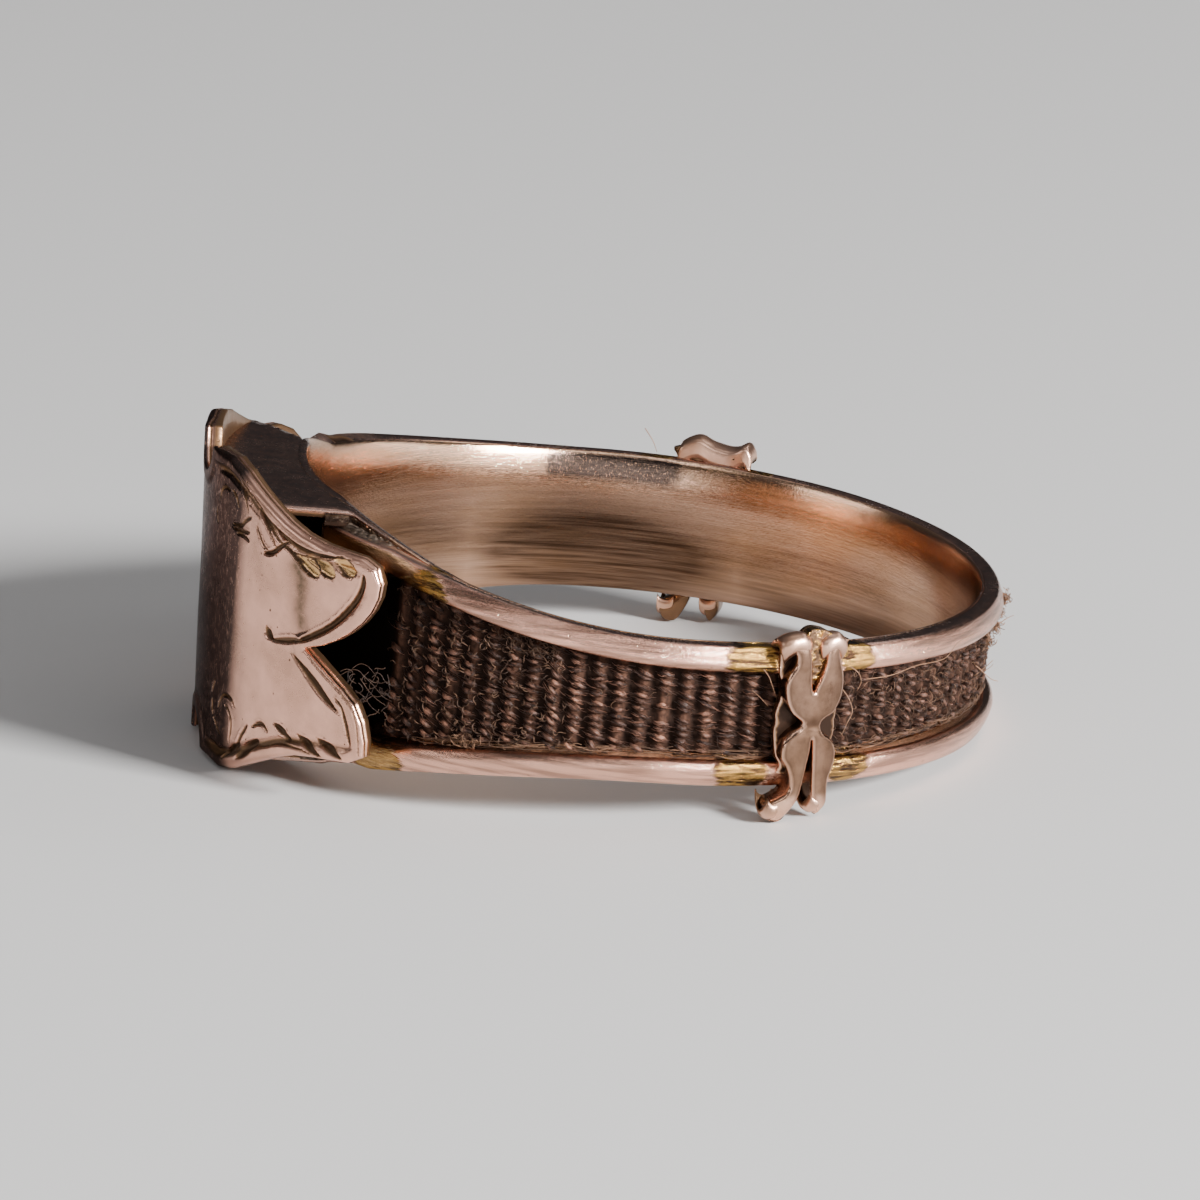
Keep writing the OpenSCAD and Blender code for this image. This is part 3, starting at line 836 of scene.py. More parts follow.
# Engraved strokes, read off the photo in pixels: width mm, depth mm, taper, pixels
SHARP, LEAF, BAND, DROP = 0.35, 0.9, 0.15, -1
STROKES = (
    # Upper near corner: the ridge line inside the border, the pair of long cuts and their hook
    (0.09, 0.050, SHARP, (244, 483, 252, 497, 260, 513, 268, 527, 277, 540, 287, 550, 299, 556, 314, 560,
                          334, 560)),
    (0.12, 0.075, SHARP, (241, 479, 249, 492, 256, 507, 263, 521, 269, 534, 275, 548)),
    (0.10, 0.070, SHARP, (251, 492, 259, 505, 267, 518, 275, 530, 284, 542)),
    (0.17, 0.100, SHARP, (262, 553, 270, 553, 277, 548.5, 285, 543)),
    (0.10, 0.050, SHARP, (255, 525, 258, 535, 262, 545, 267, 551)),
    (0.13, 0.080, SHARP, (284, 546, 290, 552.5, 296, 560, 301, 564)),
    # Near the upper points
    (0.14, 0.070, LEAF, (230, 489, 235, 498, 237, 510)),
    (0.11, 0.060, SHARP, (238, 484, 243, 497, 247, 513)),
    (0.11, 0.060, SHARP, (219, 502, 220, 491, 224, 487, 229, 491)),
    (0.13, 0.080, SHARP, (231, 524, 239, 526, 244, 521, 250, 518)),
    (0.11, 0.070, SHARP, (231, 527, 238, 531, 248, 533)),
    (0.10, 0.060, SHARP, (235, 533, 242, 536, 248, 542)),
    (0.10, 0.050, SHARP, (216, 506, 216, 515, 217, 524)),
    # Upper lobe: the broad groove inside its border, the crease from the side notch, the dimple
    (0.22, 0.110, BAND, (363, 577, 361, 589, 356, 600, 347, 611, 337, 621, 327, 628.5, 315, 634.5,
                         300, 640.5)),
    (0.20, 0.060, LEAF, (306, 642, 296, 640.5, 284, 640.5, 268, 640)),
    (0.30, 0.130, LEAF, (264, 625, 266, 632, 272, 640)),
    # Lower lobe
    (0.27, 0.110, LEAF, (289, 652, 300, 666, 311, 681, 321, 695, 331, 707, 339, 716)),
    (0.13, 0.080, SHARP, (333, 698, 340, 706, 343, 717, 346, 731, 349, 747)),
    (0.05, 0.040, BAND, (308, 656, 320, 671, 332, 684, 342, 695, 350, 707, 355, 721, 357, 737, 358, 757)),
    # Groove under the border's bead
    (0.15, 0.100, LEAF, (266, 517, 280, 532, 295, 545, 313, 554, 337, 558.5, 355, 561)),
    # Lower edge: zigzag, triangle and leaves
    (0.14, 0.090, BAND, (221, 758, 227, 751, 231, 746.5, 235, 745, 239, 736, 245, 726)),
    (0.12, 0.070, SHARP, (250, 727, 256, 724, 261, 725, 266, 733)),
    (0.36, 0.110, LEAF, (234, 759, 242, 752, 251, 744, 256, 739)),
    (0.24, 0.100, LEAF, (271, 723, 280, 731, 289, 742)),
    (0.09, 0.060, SHARP, (257, 747, 266, 746, 274, 744, 284, 745, 298, 749, 310, 755)),
    (0.26, 0.100, LEAF, (294, 734, 303, 742, 311, 750, 321, 758)),
    (0.26, 0.100, LEAF, (314, 738, 324, 746, 333, 753, 342, 761)),
    # Near the lower points
    (0.12, 0.070, SHARP, (223, 705, 227, 712, 229, 724, 227, 742)),
    (0.15, 0.070, LEAF, (211, 697, 210, 706, 211, 716)),
    (0.11, 0.060, SHARP, (211, 715, 214, 725, 218, 735)),
    (0.11, 0.060, SHARP, (216, 708, 219, 698, 223, 695, 229, 699, 233, 708)),
    (0.10, 0.050, SHARP, (210, 693, 212, 684, 214, 678)),
    # Drops with a flat bottom, from their narrow ends
    (0.42, 0.10, DROP, (295, 557, 303, 563, 312, 571, 317, 578)),
    (0.42, 0.10, DROP, (303, 558, 314, 563, 325, 570, 333, 578)),
    (0.48, 0.10, DROP, (334, 559, 341, 564, 348, 571, 352, 578)),
)
# A greenish streak that runs down the upper lobe, in pixels
GREEN_STREAK = (296, 566, 300, 580, 300, 596, 298, 610, 301, 626)
# The shield is painted dark up to this angle towards the near side: painted dark reflection
DARK_REFLECTION_PART = math.radians(20.8)


def stroke_shape(along, taper):
    """A stroke's width along it, from 0 to 1. A drop is widest towards its end."""
    if taper == DROP:
        return np.sqrt(unit(1 - ((along - 0.7) / np.where(along < 0.7, 0.7, 0.3)) ** 2))
    return unit(np.sin(np.pi * np.clip(along, 0.001, 0.999))) ** taper


def stroke_curves():
    """Every stroke, on the near half as read from the photo and mirrored on the far half."""
    for width, deep, taper, pixels in STROKES:
        curve = smooth_line(on_shield(pixels), 0.05, closed=False)
        for way in (1, -1):
            if way > 0 or np.abs(curve[:, 0]).min() > 0.5:
                yield width, deep, taper, curve * (way, 1)


def stroke_points():
    """Points that keep the strokes' shoulders and floors crisp."""
    out = []
    for width, _, taper, curve in stroke_curves():
        normal = leftward(np.gradient(curve, axis=0))
        half = width / 2 * stroke_shape(np.linspace(0, 1, len(curve)), taper)
        parts = (-1, -0.8, -0.6, -0.3, 0, 0.3, 0.6, 0.8, 1) if taper == DROP else (-1, -0.45, 0, 0.45, 1)
        reaches = [half * part for part in parts] + [side * (half + 0.035) for side in (-1, 1)]
        out += [curve + normal * reach[:, None] for reach in reaches]
    return np.concatenate(out)


def far_up(flat):
    """1 near the shield's points and lobes, above and below its middle, and 0 between."""
    return unit((np.abs(flat[:, 1]) - 2.2) / 0.4)


def eased(x):
    """A soft step from 0 to 1."""
    x = unit(x)
    return x * x * (3 - 2 * x)


def shield_relief(flat, edge):
    """Lift of the shield's face, and how dark each place is painted, from 0 to 1: dirt in the cuts, painted
    shade in the border's trough.
    """
    # A rounded border stands round the field, highest between the points and the lobes. The trough inside its
    # bead is painted dark: painted shade.
    corner = far_up(flat) * unit((np.abs(flat[:, 0]) - 1.4) / 0.6)
    lift = -(0.045 + 0.085 * corner) * eased((edge - 0.26) / 0.16)
    lift += 0.08 * corner * eased((edge - 0.46) / 0.14)
    depth = 0.7 * corner * unit(1.3 - np.abs(edge - 0.40) / 0.10)
    # The field is a little uneven
    lift += 0.006 * np.sin(2.1 * flat[:, 0] + 1.3) * np.sin(1.7 * flat[:, 1] + 0.4)
    cuts = np.zeros(len(flat))
    burrs = np.zeros(len(flat))
    for width, deep, taper, own in stroke_curves():
        near = np.all((flat > own.min(0) - width) & (flat < own.max(0) + width), 1)
        if not near.any():
            continue
        d, along = distance(flat[near], own)
        swell = stroke_shape(along, taper)
        part = d / np.maximum(width / 2 * swell, 0.004)
        cut = np.sqrt(unit(1 - part**2)) if taper == DROP else unit((1 - part) / 0.85)
        cut = cut * unit(swell * 2.5)
        cuts[near] = np.maximum(cuts[near], deep * cut)
        shoulder = unit(1 - np.abs(d - width / 2 * swell - 0.035) / 0.04) * unit(swell * 2)
        burrs[near] = np.maximum(burrs[near], 0.014 * shoulder)
        if taper == DROP:
            gilt = np.clip((part - 0.72) / 0.08, -0.9, 0.9)
            depth[near] = np.where((part < 1.0) & (depth[near] < 0.3), gilt, depth[near])
        else:
            dirt = np.clip(cut * 1.4, 0, 0.85) * min(1, deep / 0.08)
            depth[near] = np.maximum(depth[near], dirt * unit(swell * 3))
    return np.where(cuts > 0, lift - cuts, lift + burrs), depth


def shield_stains_and_reflection(flat):
    """The middle of the shield is painted dark, a painted dark reflection, and the upper lobe has a green
    streak.
    """
    angle = flat[:, 0] / PLATE_R
    dull = unit((DARK_REFLECTION_PART + 0.008 * flat[:, 1] - angle) / 0.06 + 0.5) * unit((angle + 0.62) / 0.25)
    away, _ = distance(flat, on_shield(GREEN_STREAK))
    border = far_up(flat) * unit((0.5 - to_edge(flat, shield_line())) / 0.1)
    return {"satin": border, "dull": 0.94 * dull, "green": 0.9 * np.exp(-((away / 0.24) ** 2))}


def shield():
    def place(flat, lift):
        return from_plate(ring_points(flat[:, 0] / PLATE_R, PLATE_R + lift, flat[:, 1]))

    def soft(flat):
        return 0.07 + 0.10 * far_up(flat) * unit((np.abs(flat[:, 0]) - 1.2) / 0.5)

    plate("shield_plate", shield_line(), place, GOLD_SHIELD, soft, PLATE_T, 0.055, shield_relief,
          extra=stroke_points(), wall=0.5, lip=0.035, stains=shield_stains_and_reflection)


def posts():
    """Posts of solder between the lobes' backs and the sleeve."""
    inner = SLEEVE_R - 0.02
    a, b = (math.radians(k) for k in POST_ANGLES)
    line = dense_line(((inner, a), (inner, b), (POST_OUT[1], b), (POST_OUT[0], a)), 0.1)
    for word, way in (("near", 1), ("far", -1)):
        for level, side in (("top", 1), ("low", -1)):
            def place(flat, lift):
                return ring_points(way * flat[:, 1], flat[:, 0], side * (POST_Z + lift))

            plate(f"post_{word}_{level}", line, place, GOLD_BAND, 0.01, 0.4, 0.2)


# Clips

# Outline of the near clip's face, clockwise from the left waist, in the photo's pixels
CLIP_LOW = (
    803, 727, 794, 733, 786, 741, 783, 751, 783, 760, 788, 769, 791, 779, 791, 788, 787, 795, 779, 800,
    772, 804, 768, 812, 771, 822, 778, 825, 786, 822, 793, 812, 798, 802, 802, 790, 805, 778, 808, 765,
    811, 752, 812.5, 741, 813.5, 741, 813.5, 755, 813, 770, 812.5, 785, 813, 800, 816, 813, 820, 817,
    825, 811, 828, 803, 828, 792, 829, 780, 833, 769, 836, 758, 836, 748, 832, 739, 823, 730,
)
CLIP_TOP = (
    824, 721, 834, 714, 839, 706, 843, 696, 845, 685, 845, 674, 843, 662, 842, 652, 845, 642, 845, 635,
    838, 631, 832, 634, 831.5, 642, 830, 653, 828, 665, 824, 676, 820, 684, 815.7, 693, 814.6, 692,
    813.6, 683, 814, 665, 813, 650, 811.5, 641, 808.5, 634.5, 802, 632.5, 796.5, 635, 794.5, 643,
    795, 650, 799, 658, 798, 667, 792, 676, 788, 686, 788, 698, 790, 707, 795, 716, 803, 723,
)
# Upper leaves of the far clip, which stand wider apart, in the same order: offset, height
FAR_TOP = (0.42, 0.05, 0.62, 0.35, 0.78, 0.8, 0.88, 1.3, 0.98, 1.8, 0.99, 1.95, 0.9, 2.05, 0.62, 2.05,
           0.5, 1.95, 0.46, 1.8, 0.25, 1.3, 0.05, 0.95, 0.0, 0.92, -0.08, 1.3, -0.12, 1.8, -0.2, 1.98,
           -0.38, 2.08, -0.7, 2.08, -0.81, 1.98, -0.8, 1.8, -0.66, 1.5, -0.72, 1.25, -0.88, 0.9, -0.82, 0.5,
           -0.6, 0.2, -0.38, 0.04)
# The base strip's left edge and the solder between the upper leaves, in pixels
BASE_R = 9.64
BASE_LEFT = (783, 640, 781.5, 650, 781, 663, 780.5, 675, 783.5, 687, 780.5, 700, 776, 713, 776, 722, 774, 731,
             774.5, 748, 776, 757, 780, 765, 779, 775)
FILL_R = 9.86
GAP_FILL = (806, 640, 810, 632.5, 819, 629.5, 832, 633, 832, 645, 828, 662, 823.5, 677, 818, 687, 814, 692,
            810.5, 678, 807, 657)
# The leaves' ends fold over the band's edges: radius, height from the crest
FOLD_START = (9.93, -0.52, 10.04, -0.36, 10.06, -0.20, 9.99, -0.07, 9.89, 0.0, 9.74, 0.02)
UPPER_FOLD = FOLD_START + (9.56, -0.02, 9.38, -0.09, 9.24, -0.17, 9.16, -0.24)
FAR_FOLD = FOLD_START + (9.56, 0.0, 9.42, -0.03, 9.34, -0.07, 9.315, -0.14, 9.295, -0.26, 9.275, -0.38,
                         9.25, -0.50)
LOWER_FOLD = (10.04, -0.45, 10.02, -0.24, 9.93, -0.09, 9.77, 0.0, 9.58, -0.01, 9.4, -0.10, 9.27, -0.28,
              9.22, -0.50)
# Span round the band and height of the crest of each foot
FEET = (("left", -1.14, -0.66, 2.60), ("right", 0.08, 0.58, 2.45))


def by_clip(along, radius, height, side):
    """Points from the distance round a clip's face from its middle, a radius and a height."""
    angle = along / CLIP_R - CLIP_ANGLE
    return np.stack(np.broadcast_arrays(radius * np.cos(angle), side * radius * np.sin(angle), height), -1)


def clip_plate(name, line, radius, side, material, *sizes, **looks):
    """A plate that stands at a radius on the near or the far side of the band."""
    def place(flat, lift):
        return by_clip(flat[:, 0], radius + lift, flat[:, 1], side)

    plate(name, line, place, material, *sizes, **looks)


def clip(name, line, side):
    """A clip cut to its leaves' outline, standing from the hair out over the rims."""
    line = smooth_line(line, 0.05)

    def soft(flat):
        tip = unit((np.abs(flat[:, 1] + 0.05) - 1.8) / 0.5)
        waist = unit(1 - np.abs(flat[:, 1] + 0.32) / 0.3) * unit((np.abs(flat[:, 0] + 0.05) - 0.12) / 0.15)
        return 0.09 + 0.09 * tip + 0.07 * waist

    def relief(flat, edge):
        crown = 0.012 * unit(edge / 0.3)
        from_waist = ((flat[:, 1] + 0.12) / 0.16) ** 2 + ((flat[:, 0] + 0.05) / 0.3) ** 2
        bend = -0.16 * unit((np.abs(flat[:, 1] + 0.1) - 1.85) / 0.6) ** 2
        return crown - 0.05 * np.exp(-from_waist) + bend - 0.012, np.zeros(len(flat))

    def stains(flat):
        shown = unit((to_edge(flat, line) - 0.03) / 0.05) * unit((2.2 - np.abs(flat[:, 1])) / 0.35)
        return {"brown": 0.93 * shown}

    clip_plate(name, line, CLIP_R, side, GOLD_CLIP, soft, 0.78, 0.06, relief, wall=0.3, stains=stains,
               rest={"brown": 0.85})


def base_strip(name, side):
    """The strip under the leaves, whose edges show beside them."""
    left = on_clip(BASE_LEFT, BASE_R)
    right = left * (-1, 1) - (0.10, 0)
    line = smooth_line(np.concatenate((left, right[::-1])), 0.06)

    # The face is painted black except close to its edges: painted shadow under the leaves
    def relief(flat, edge):
        return np.zeros(len(flat)), 1.5 * unit((edge - 0.04) / 0.05)

    clip_plate(name, line, BASE_R, side, GOLD_CLIP, 0.05, 0.29, 0.09, relief, wall=0.5)


def gap_fill(name, side):
    """Lumpy solder between the upper leaves."""
    line = smooth_line(on_clip(GAP_FILL, FILL_R) - (0, 0.32 if side < 0 else 0), 0.05)

    def relief(flat, edge):
        rough = np.sin(17 * flat[:, 0] + 3 * np.sin(9 * flat[:, 1])) * np.sin(14 * flat[:, 1] + 1)
        sag = -0.12 * unit((1.6 - flat[:, 1]) / 0.9)
        # Dark where the solder is low: painted shade in its hollows
        return 0.035 * rough + sag, np.where(rough < 0.1, 0.85, 0.0)

    clip_plate(name, line, FILL_R, side, GOLD_BAND, 0.05, 0.5, 0.07, relief, wall=0.5,
               stains=lambda flat: {"solder": np.full(len(flat), 1.6)}, rest={"solder": 1.6})


def fold(name, start, end, crest, profile, side, up, waves=()):
    """A leaf's end bent over the band's edge, as a thin curled sheet."""
    along = np.linspace(start, end, 34)
    radius, drop = pairs(profile).T
    height = crest + sum(rise * np.exp(-(((along - centre) / width) ** 2)) for centre, width, rise in waves)
    # The sheet's sides are rounded off
    corner, deep = (0.34, 0.22) if up > 0 else (0.24, 0.15)
    ends = unit(np.minimum(along - start, end - along) / corner)
    fall = 1 - np.sqrt(1 - (1 - ends) ** 2)
    r = radius[-1] + (radius - radius[-1]) * (1 - 0.14 * fall)[:, None]
    flat = np.stack((r, (height - deep * fall)[:, None] + drop), -1)
    under = flat + 0.10 * leftward(np.gradient(pairs(profile), axis=0))
    middle = (start + end) / 2
    width = np.interp(np.arange(len(radius)), (0, 2.5), (0.62, 1))
    across = middle + (along - middle)[:, None] * width
    sheets = [by_clip(across, k[..., 0], up * k[..., 1], side) for k in (flat, under)]
    points = np.concatenate(sheets).reshape(-1, 3)
    brown = np.interp(np.arange(len(radius)), (0, 2), (0.6, 0))
    # The sheet's underside is painted dark: painted shade
    marks = {"grain": points, "cut": np.repeat((0.0, 0.8), r.size), "brown": np.tile(brown, 2 * len(along)),
             "satin": np.full(2 * r.size, 1.8), **solder_marks(points)}
    make(name, points, shell_faces(*r.shape), GOLD_CLIP, GOLD_PART, marks)


def clips():
    near = on_clip(CLIP_LOW + CLIP_TOP)
    near[:, 1] = np.minimum(near[:, 1], 2.1)
    clip("clip_near", near, 1)
    clip("clip_far", np.concatenate((on_clip(CLIP_LOW), pairs(FAR_TOP))), -1)
    for name, side in (("near", 1), ("far", -1)):
        base_strip(f"clip_{name}_base", side)
        gap_fill(f"clip_{name}_solder", side)
        for word, start, end, crest in FEET:
            fold(f"clip_{name}_foot_{word}", start, end, crest, LOWER_FOLD, side, -1)
    fold("clip_near_fold_left", -1.14, -0.25, 2.28, UPPER_FOLD, 1, 1,
         ((-0.55, 0.3, 0.05), (-1.1, 0.25, -0.05)))
    fold("clip_near_fold_right", -0.02, 0.79, 2.24, UPPER_FOLD, 1, 1, ((0.46, 0.25, 0.08),))
    fold("clip_far_fold", -1.0, 1.14, 2.24, FAR_FOLD, -1, 1,
         ((-0.45, 0.30, 0.16), (0.40, 0.25, -0.04), (0.92, 0.20, 0.16)))


# Hair

RIB = 0.57
ROW = 0.205
HAIR_START = math.radians(HAIR_END) * HAIR_R
HAIR_STOP = math.radians(360 - HAIR_END) * HAIR_R
CLIP_ARC = (math.pi - CLIP_ANGLE) * HAIR_R
FRAYED = CLIP_ARC + 9.0
FINE_STRANDS = 6
FIBRES = 620
SHIELD_FIBRES = 330
EDGE_FIBRES = 190
TANGLED = 26
FLUFF_FIBRES = 75


def hair_material(name, dark, light, rough, gloss):
    n = Nodes(name)
    streak = n.noise(n.attribute("grain", "Vector"), 1.0, 3.0, 0.6)
    factor = n.times(n.attribute("shade"), n.ramp(streak, 0.3, 0.62, 0.35, 1.25))
    n.shade("Base Color", n.mix(factor, dark, light))
    n.shade("Roughness", n.ramp(streak, 0.3, 0.7, rough - 0.08, rough + 0.12))
    n.shade("Specular IOR Level", gloss)
    n.shade("Normal", n.bump(streak, 0.00003, 0.9))
    return n.material


HAIR = hair_material("woven_hair", (0.014, 0.006, 0.004, 1), (0.36, 0.165, 0.105, 1), 0.42, 0.3)
HAIR_GROUND = hair_material("hair_ground", (0.006, 0.003, 0.002, 1), (0.22, 0.105, 0.068, 1), 0.75, 0.08)
PALE_HAIR = hair_material("loose_hair", (0.018, 0.008, 0.005, 1), (0.44, 0.235, 0.135, 1), 0.45, 0.3)


class Tubes:
    """Many thin tapered tubes in one mesh."""

    def __init__(self, sides):
        self.sides = sides
        self.points, self.faces, self.shade, self.grain, self.count = [], [], [], [], 0

    def add(self, line, radius, shade, flat=1.0, normal=(0.3, -0.9, 0.31)):
        """radius and shade: one number, or one for each point of line; flat: thickness along the normal."""
        n, sides = len(line), self.sides
        way = normed(np.gradient(line, axis=0))
        across = normed(np.cross(way, normal))
        out = np.cross(across, way)
        turn = np.arange(sides) * 2 * np.pi / sides
        radius = np.broadcast_to(radius, n)[:, None, None]
        shape = across[:, None] * np.cos(turn)[:, None] + flat * out[:, None] * np.sin(turn)[:, None]
        self.points.append((line[:, None] + radius * shape).reshape(-1, 3))
        self.faces += tube_faces(n, sides, base=self.count)
        self.shade.append(np.repeat(np.broadcast_to(shade, n), sides))
        along = np.repeat(np.linspace(0, 1.2, n), sides)
        seed = np.full(n * sides, 7.3 * len(self.points))
        self.grain.append(np.stack((along, np.tile(turn, n) * 2.5, seed), 1))
        self.count += n * sides

    def finish(self, name, material):
        marks = {"shade": np.concatenate(self.shade), "grain": np.concatenate(self.grain)}
        make(name, np.concatenate(self.points), self.faces, material, HAIR_PART, marks)


def tapered(t, end):
    """1 in the middle of a strand and less at its ends, which are cut at a small part of its length."""
    return np.sin(np.pi * np.clip(t, end, 1 - end))


def hair_point(arc, height, radius):
    """A point from the distance round the hair from the shield on the near side."""
    return ring_points(arc / HAIR_R, radius, height)


def hair_limits(arc):
    """The strip's lower and upper edge. Past the near clip it has shrunk away from the lower rim."""
    tall = channel(-HAIR_R * np.cos(arc / HAIR_R)) - 0.03
    shrunk = unit((arc - CLIP_ARC - 0.5) / 4) * unit((FRAYED + 3 - arc) / 3)
    return -tall + 0.05 + 0.16 * shrunk, tall


def hair_backing():
    """The body of the strip, ribbed, on the channel's floor."""
    arc, part = np.meshgrid(np.arange(HAIR_START, HAIR_STOP, 0.06), np.linspace(0, 1, 15), indexing="ij")
    low, high = hair_limits(arc)
    rib = 0.5 + 0.5 * np.cos(2 * np.pi * (arc - HAIR_START) / RIB + np.pi)
    top = SLEEVE_R + 0.05 + 0.13 * rib * np.clip(np.minimum(part, 1 - part) / 0.08, 0.2, 1)
    radius = np.stack((top, np.full(top.shape, SLEEVE_R + 0.01)))
    points = hair_point(arc, low + part * (high - low), radius).reshape(-1, 3)
    lit = 0.05 + 0.30 * rib**2 * (1 - 0.35 * unit((arc - CLIP_ARC) / 0.5))
    marks = {"shade": np.stack((lit, 0 * lit)).ravel(), "grain": points * 9}
    make("hair_backing", points, shell_faces(*arc.shape), HAIR_GROUND, HAIR_PART, marks)


def slubs():
    """Short slanted bundles, one over the other, that cross each rib, with finer strands over them."""
    weave, strands = Tubes(6), Tubes(3)
    t = np.linspace(0, 1, 7)
    fine = np.linspace(0, 1, 5)
    swell = tapered(t, 0.06)
    for j in range(int((HAIR_STOP - HAIR_START) / RIB)):
        middle = HAIR_START + RIB * (j + 0.5)
        low, high = hair_limits(middle)
        near_start = unit(1 - j / 6)
        row = ROW * (1 + 0.45 * near_start) * rng.uniform(0.93, 1.07)
        steep = 15 + 12 * near_start + rng.normal(0, 4)
        ragged = CLIP_ARC < middle < FRAYED
        tired = np.clip(rng.normal(0.8, 0.2), 0.3, 1.1) * (0.62 if ragged else 1)
        z = low + row * rng.uniform(0.4, 0.8)
        while z < high - 0.05:
            here = z + rng.normal(0, 0.02)
            z += row * rng.uniform(0.82, 1.18)
            if (j == 0 and rng.random() < 0.5) or rng.random() < (0.16 if ragged else 0.04):
                continue
            length = rng.uniform(0.34, 0.45) * (0.85 if ragged else 1)
            slant = math.radians(steep + rng.normal(0, 12 if ragged else 8))
            across, down = length * math.cos(slant), length * math.sin(slant)
            arc = middle + rng.normal(0, 0.03) + (t - 0.5) * across
            height = here - (t - 0.5) * down + rng.normal(0, 0.012, t.size)
            height = np.clip(height, low + 0.03, high - 0.03)
            radius = HAIR_R - 0.15 + 0.08 * swell + rng.normal(0, 0.012)
            radius -= 0.06 if rng.random() < 0.12 else 0
            out = hair_point(middle, 0.0, 1.0)
            thick = rng.uniform(0.050, 0.070) * row / 0.21
            bright = 1.05 * unit(rng.beta(1.6, 2.2) * tired)
            # Each bundle is painted lighter along its middle than at its ends: painted highlight
            shade = bright * swell**1.4 * rng.uniform(0.6, 1.2, t.size)
            weave.add(hair_point(arc, height, radius), thick * swell**0.6, shade, 0.85, out)
            for k in range(FINE_STRANDS):
                shift = rng.uniform(-1.1, 1.1) * thick
                reach = rng.uniform(0.5, 1.1) if k < 5 else rng.uniform(1.1, 1.7)
                start = middle + rng.normal(0, 0.07)
                lift = thick * 0.8 * math.sqrt(max(0.0, 1 - (shift / thick) ** 2)) - (0.02 if k > 3 else 0)
                height = here + shift - (fine - 0.5) * down * reach + rng.normal(0, 0.012, fine.size)
                top = HAIR_R - 0.15 + 0.085 * np.sin(np.pi * fine) + lift + rng.normal(0, 0.006, fine.size)
                fibre = hair_point(start + (fine - 0.5) * across * reach, np.clip(height, low, high), top)
                shine = (1.6 if k < 5 else 0.5) * unit(rng.beta(1.3, 2.2) * tired)
                shine = shine * rng.uniform(0.4, 1.3, fine.size)
                strands.add(fibre, rng.uniform(0.007, 0.011) * tapered(fine, 0.1) ** 0.5, shine, 1.0, out)
    weave.finish("hair_slubs", HAIR)
    strands.finish("hair_strands", HAIR)


def curl(tubes, arc, height, length, bend, radius, lift, shade, thick):
    """A single curly fibre on the hair."""
    t = np.linspace(0, 1, 9)
    way = rng.uniform(0, 2 * np.pi) + bend * t + 0.5 * np.sin(6 * t + rng.uniform(0, 6))
    low, high = hair_limits(arc)
    along = arc + np.cumsum(np.cos(way)) / 9 * length
    up = np.clip(height + np.cumsum(np.sin(way)) / 9 * length, low - 0.05, high)
    out = radius + lift * np.sin(np.pi * t) - 0.04 * (1 - np.sin(np.pi * t))
    tubes.add(hair_point(along, up, out), thick * tapered(t, 0.1) ** 0.5 + 0.002, shade)


def fuzz():
    """Single fibres over the weave, most of them past the near clip and along the lower edge."""
    tubes = Tubes(3)
    t = np.linspace(0, 1, 9)
    for _ in range(FIBRES):
        past = rng.random() < 0.72
        arc = rng.uniform(CLIP_ARC + 0.4, FRAYED) if past else rng.uniform(HAIR_START, HAIR_STOP)
        curl(tubes, arc, rng.uniform(*hair_limits(arc)), rng.uniform(0.12, 0.5), rng.normal(0, 1.7),
             HAIR_R - 0.05, rng.uniform(0, 0.08), 0.7 * rng.beta(0.9, 3.0), 0.008)
    # Short bent ones beside the shield
    for _ in range(SHIELD_FIBRES):
        arc = HAIR_START + 0.25 + 5.2 * rng.beta(1.0, 1.5)
        curl(tubes, arc, rng.uniform(*hair_limits(arc)), rng.uniform(0.16, 0.36), rng.normal(0, 1.5),
             HAIR_R - 0.03, rng.uniform(0.02, 0.06), rng.uniform(0.05, 0.30), 0.014)
    # A crinkled patch under the upper rim, and pale fluff on the lower ledge
    patches = ((HAIR_START + 4.2, 0.8, 0.84, 60, 0.22), (HAIR_START + 2.6, 0.45, -0.97, 55, 0.85))
    for centre, spread, level, number, shade in patches:
        for _ in range(number):
            arc = centre + rng.normal(0, spread / 2)
            low, high = hair_limits(arc)
            height = (low + high) / 2 + level * (high - low) / 2 + rng.normal(0, 0.08)
            curl(tubes, arc, height, rng.uniform(0.15, 0.45), rng.normal(0, 3.5), HAIR_R - 0.02,
                 rng.uniform(0, 0.05), shade * rng.uniform(0.3, 1), 0.009)
    for _ in range(EDGE_FIBRES):
        arc = rng.uniform(HAIR_START + 0.6, FRAYED) + t * rng.uniform(0.3, 1.5)
        low, _ = hair_limits(arc)
        level = low + rng.uniform(-0.05, 0.16)
        height = level + rng.normal(0, 0.03) * np.sin(2 * np.pi * t + rng.uniform(0, 6))
        out = HAIR_R - 0.09 + rng.uniform(0, 0.1) * np.sin(np.pi * t)
        tubes.add(hair_point(arc, height, out), 0.010, rng.beta(1.0, 2.2))
    tubes.finish("hair_fuzz", PALE_HAIR)


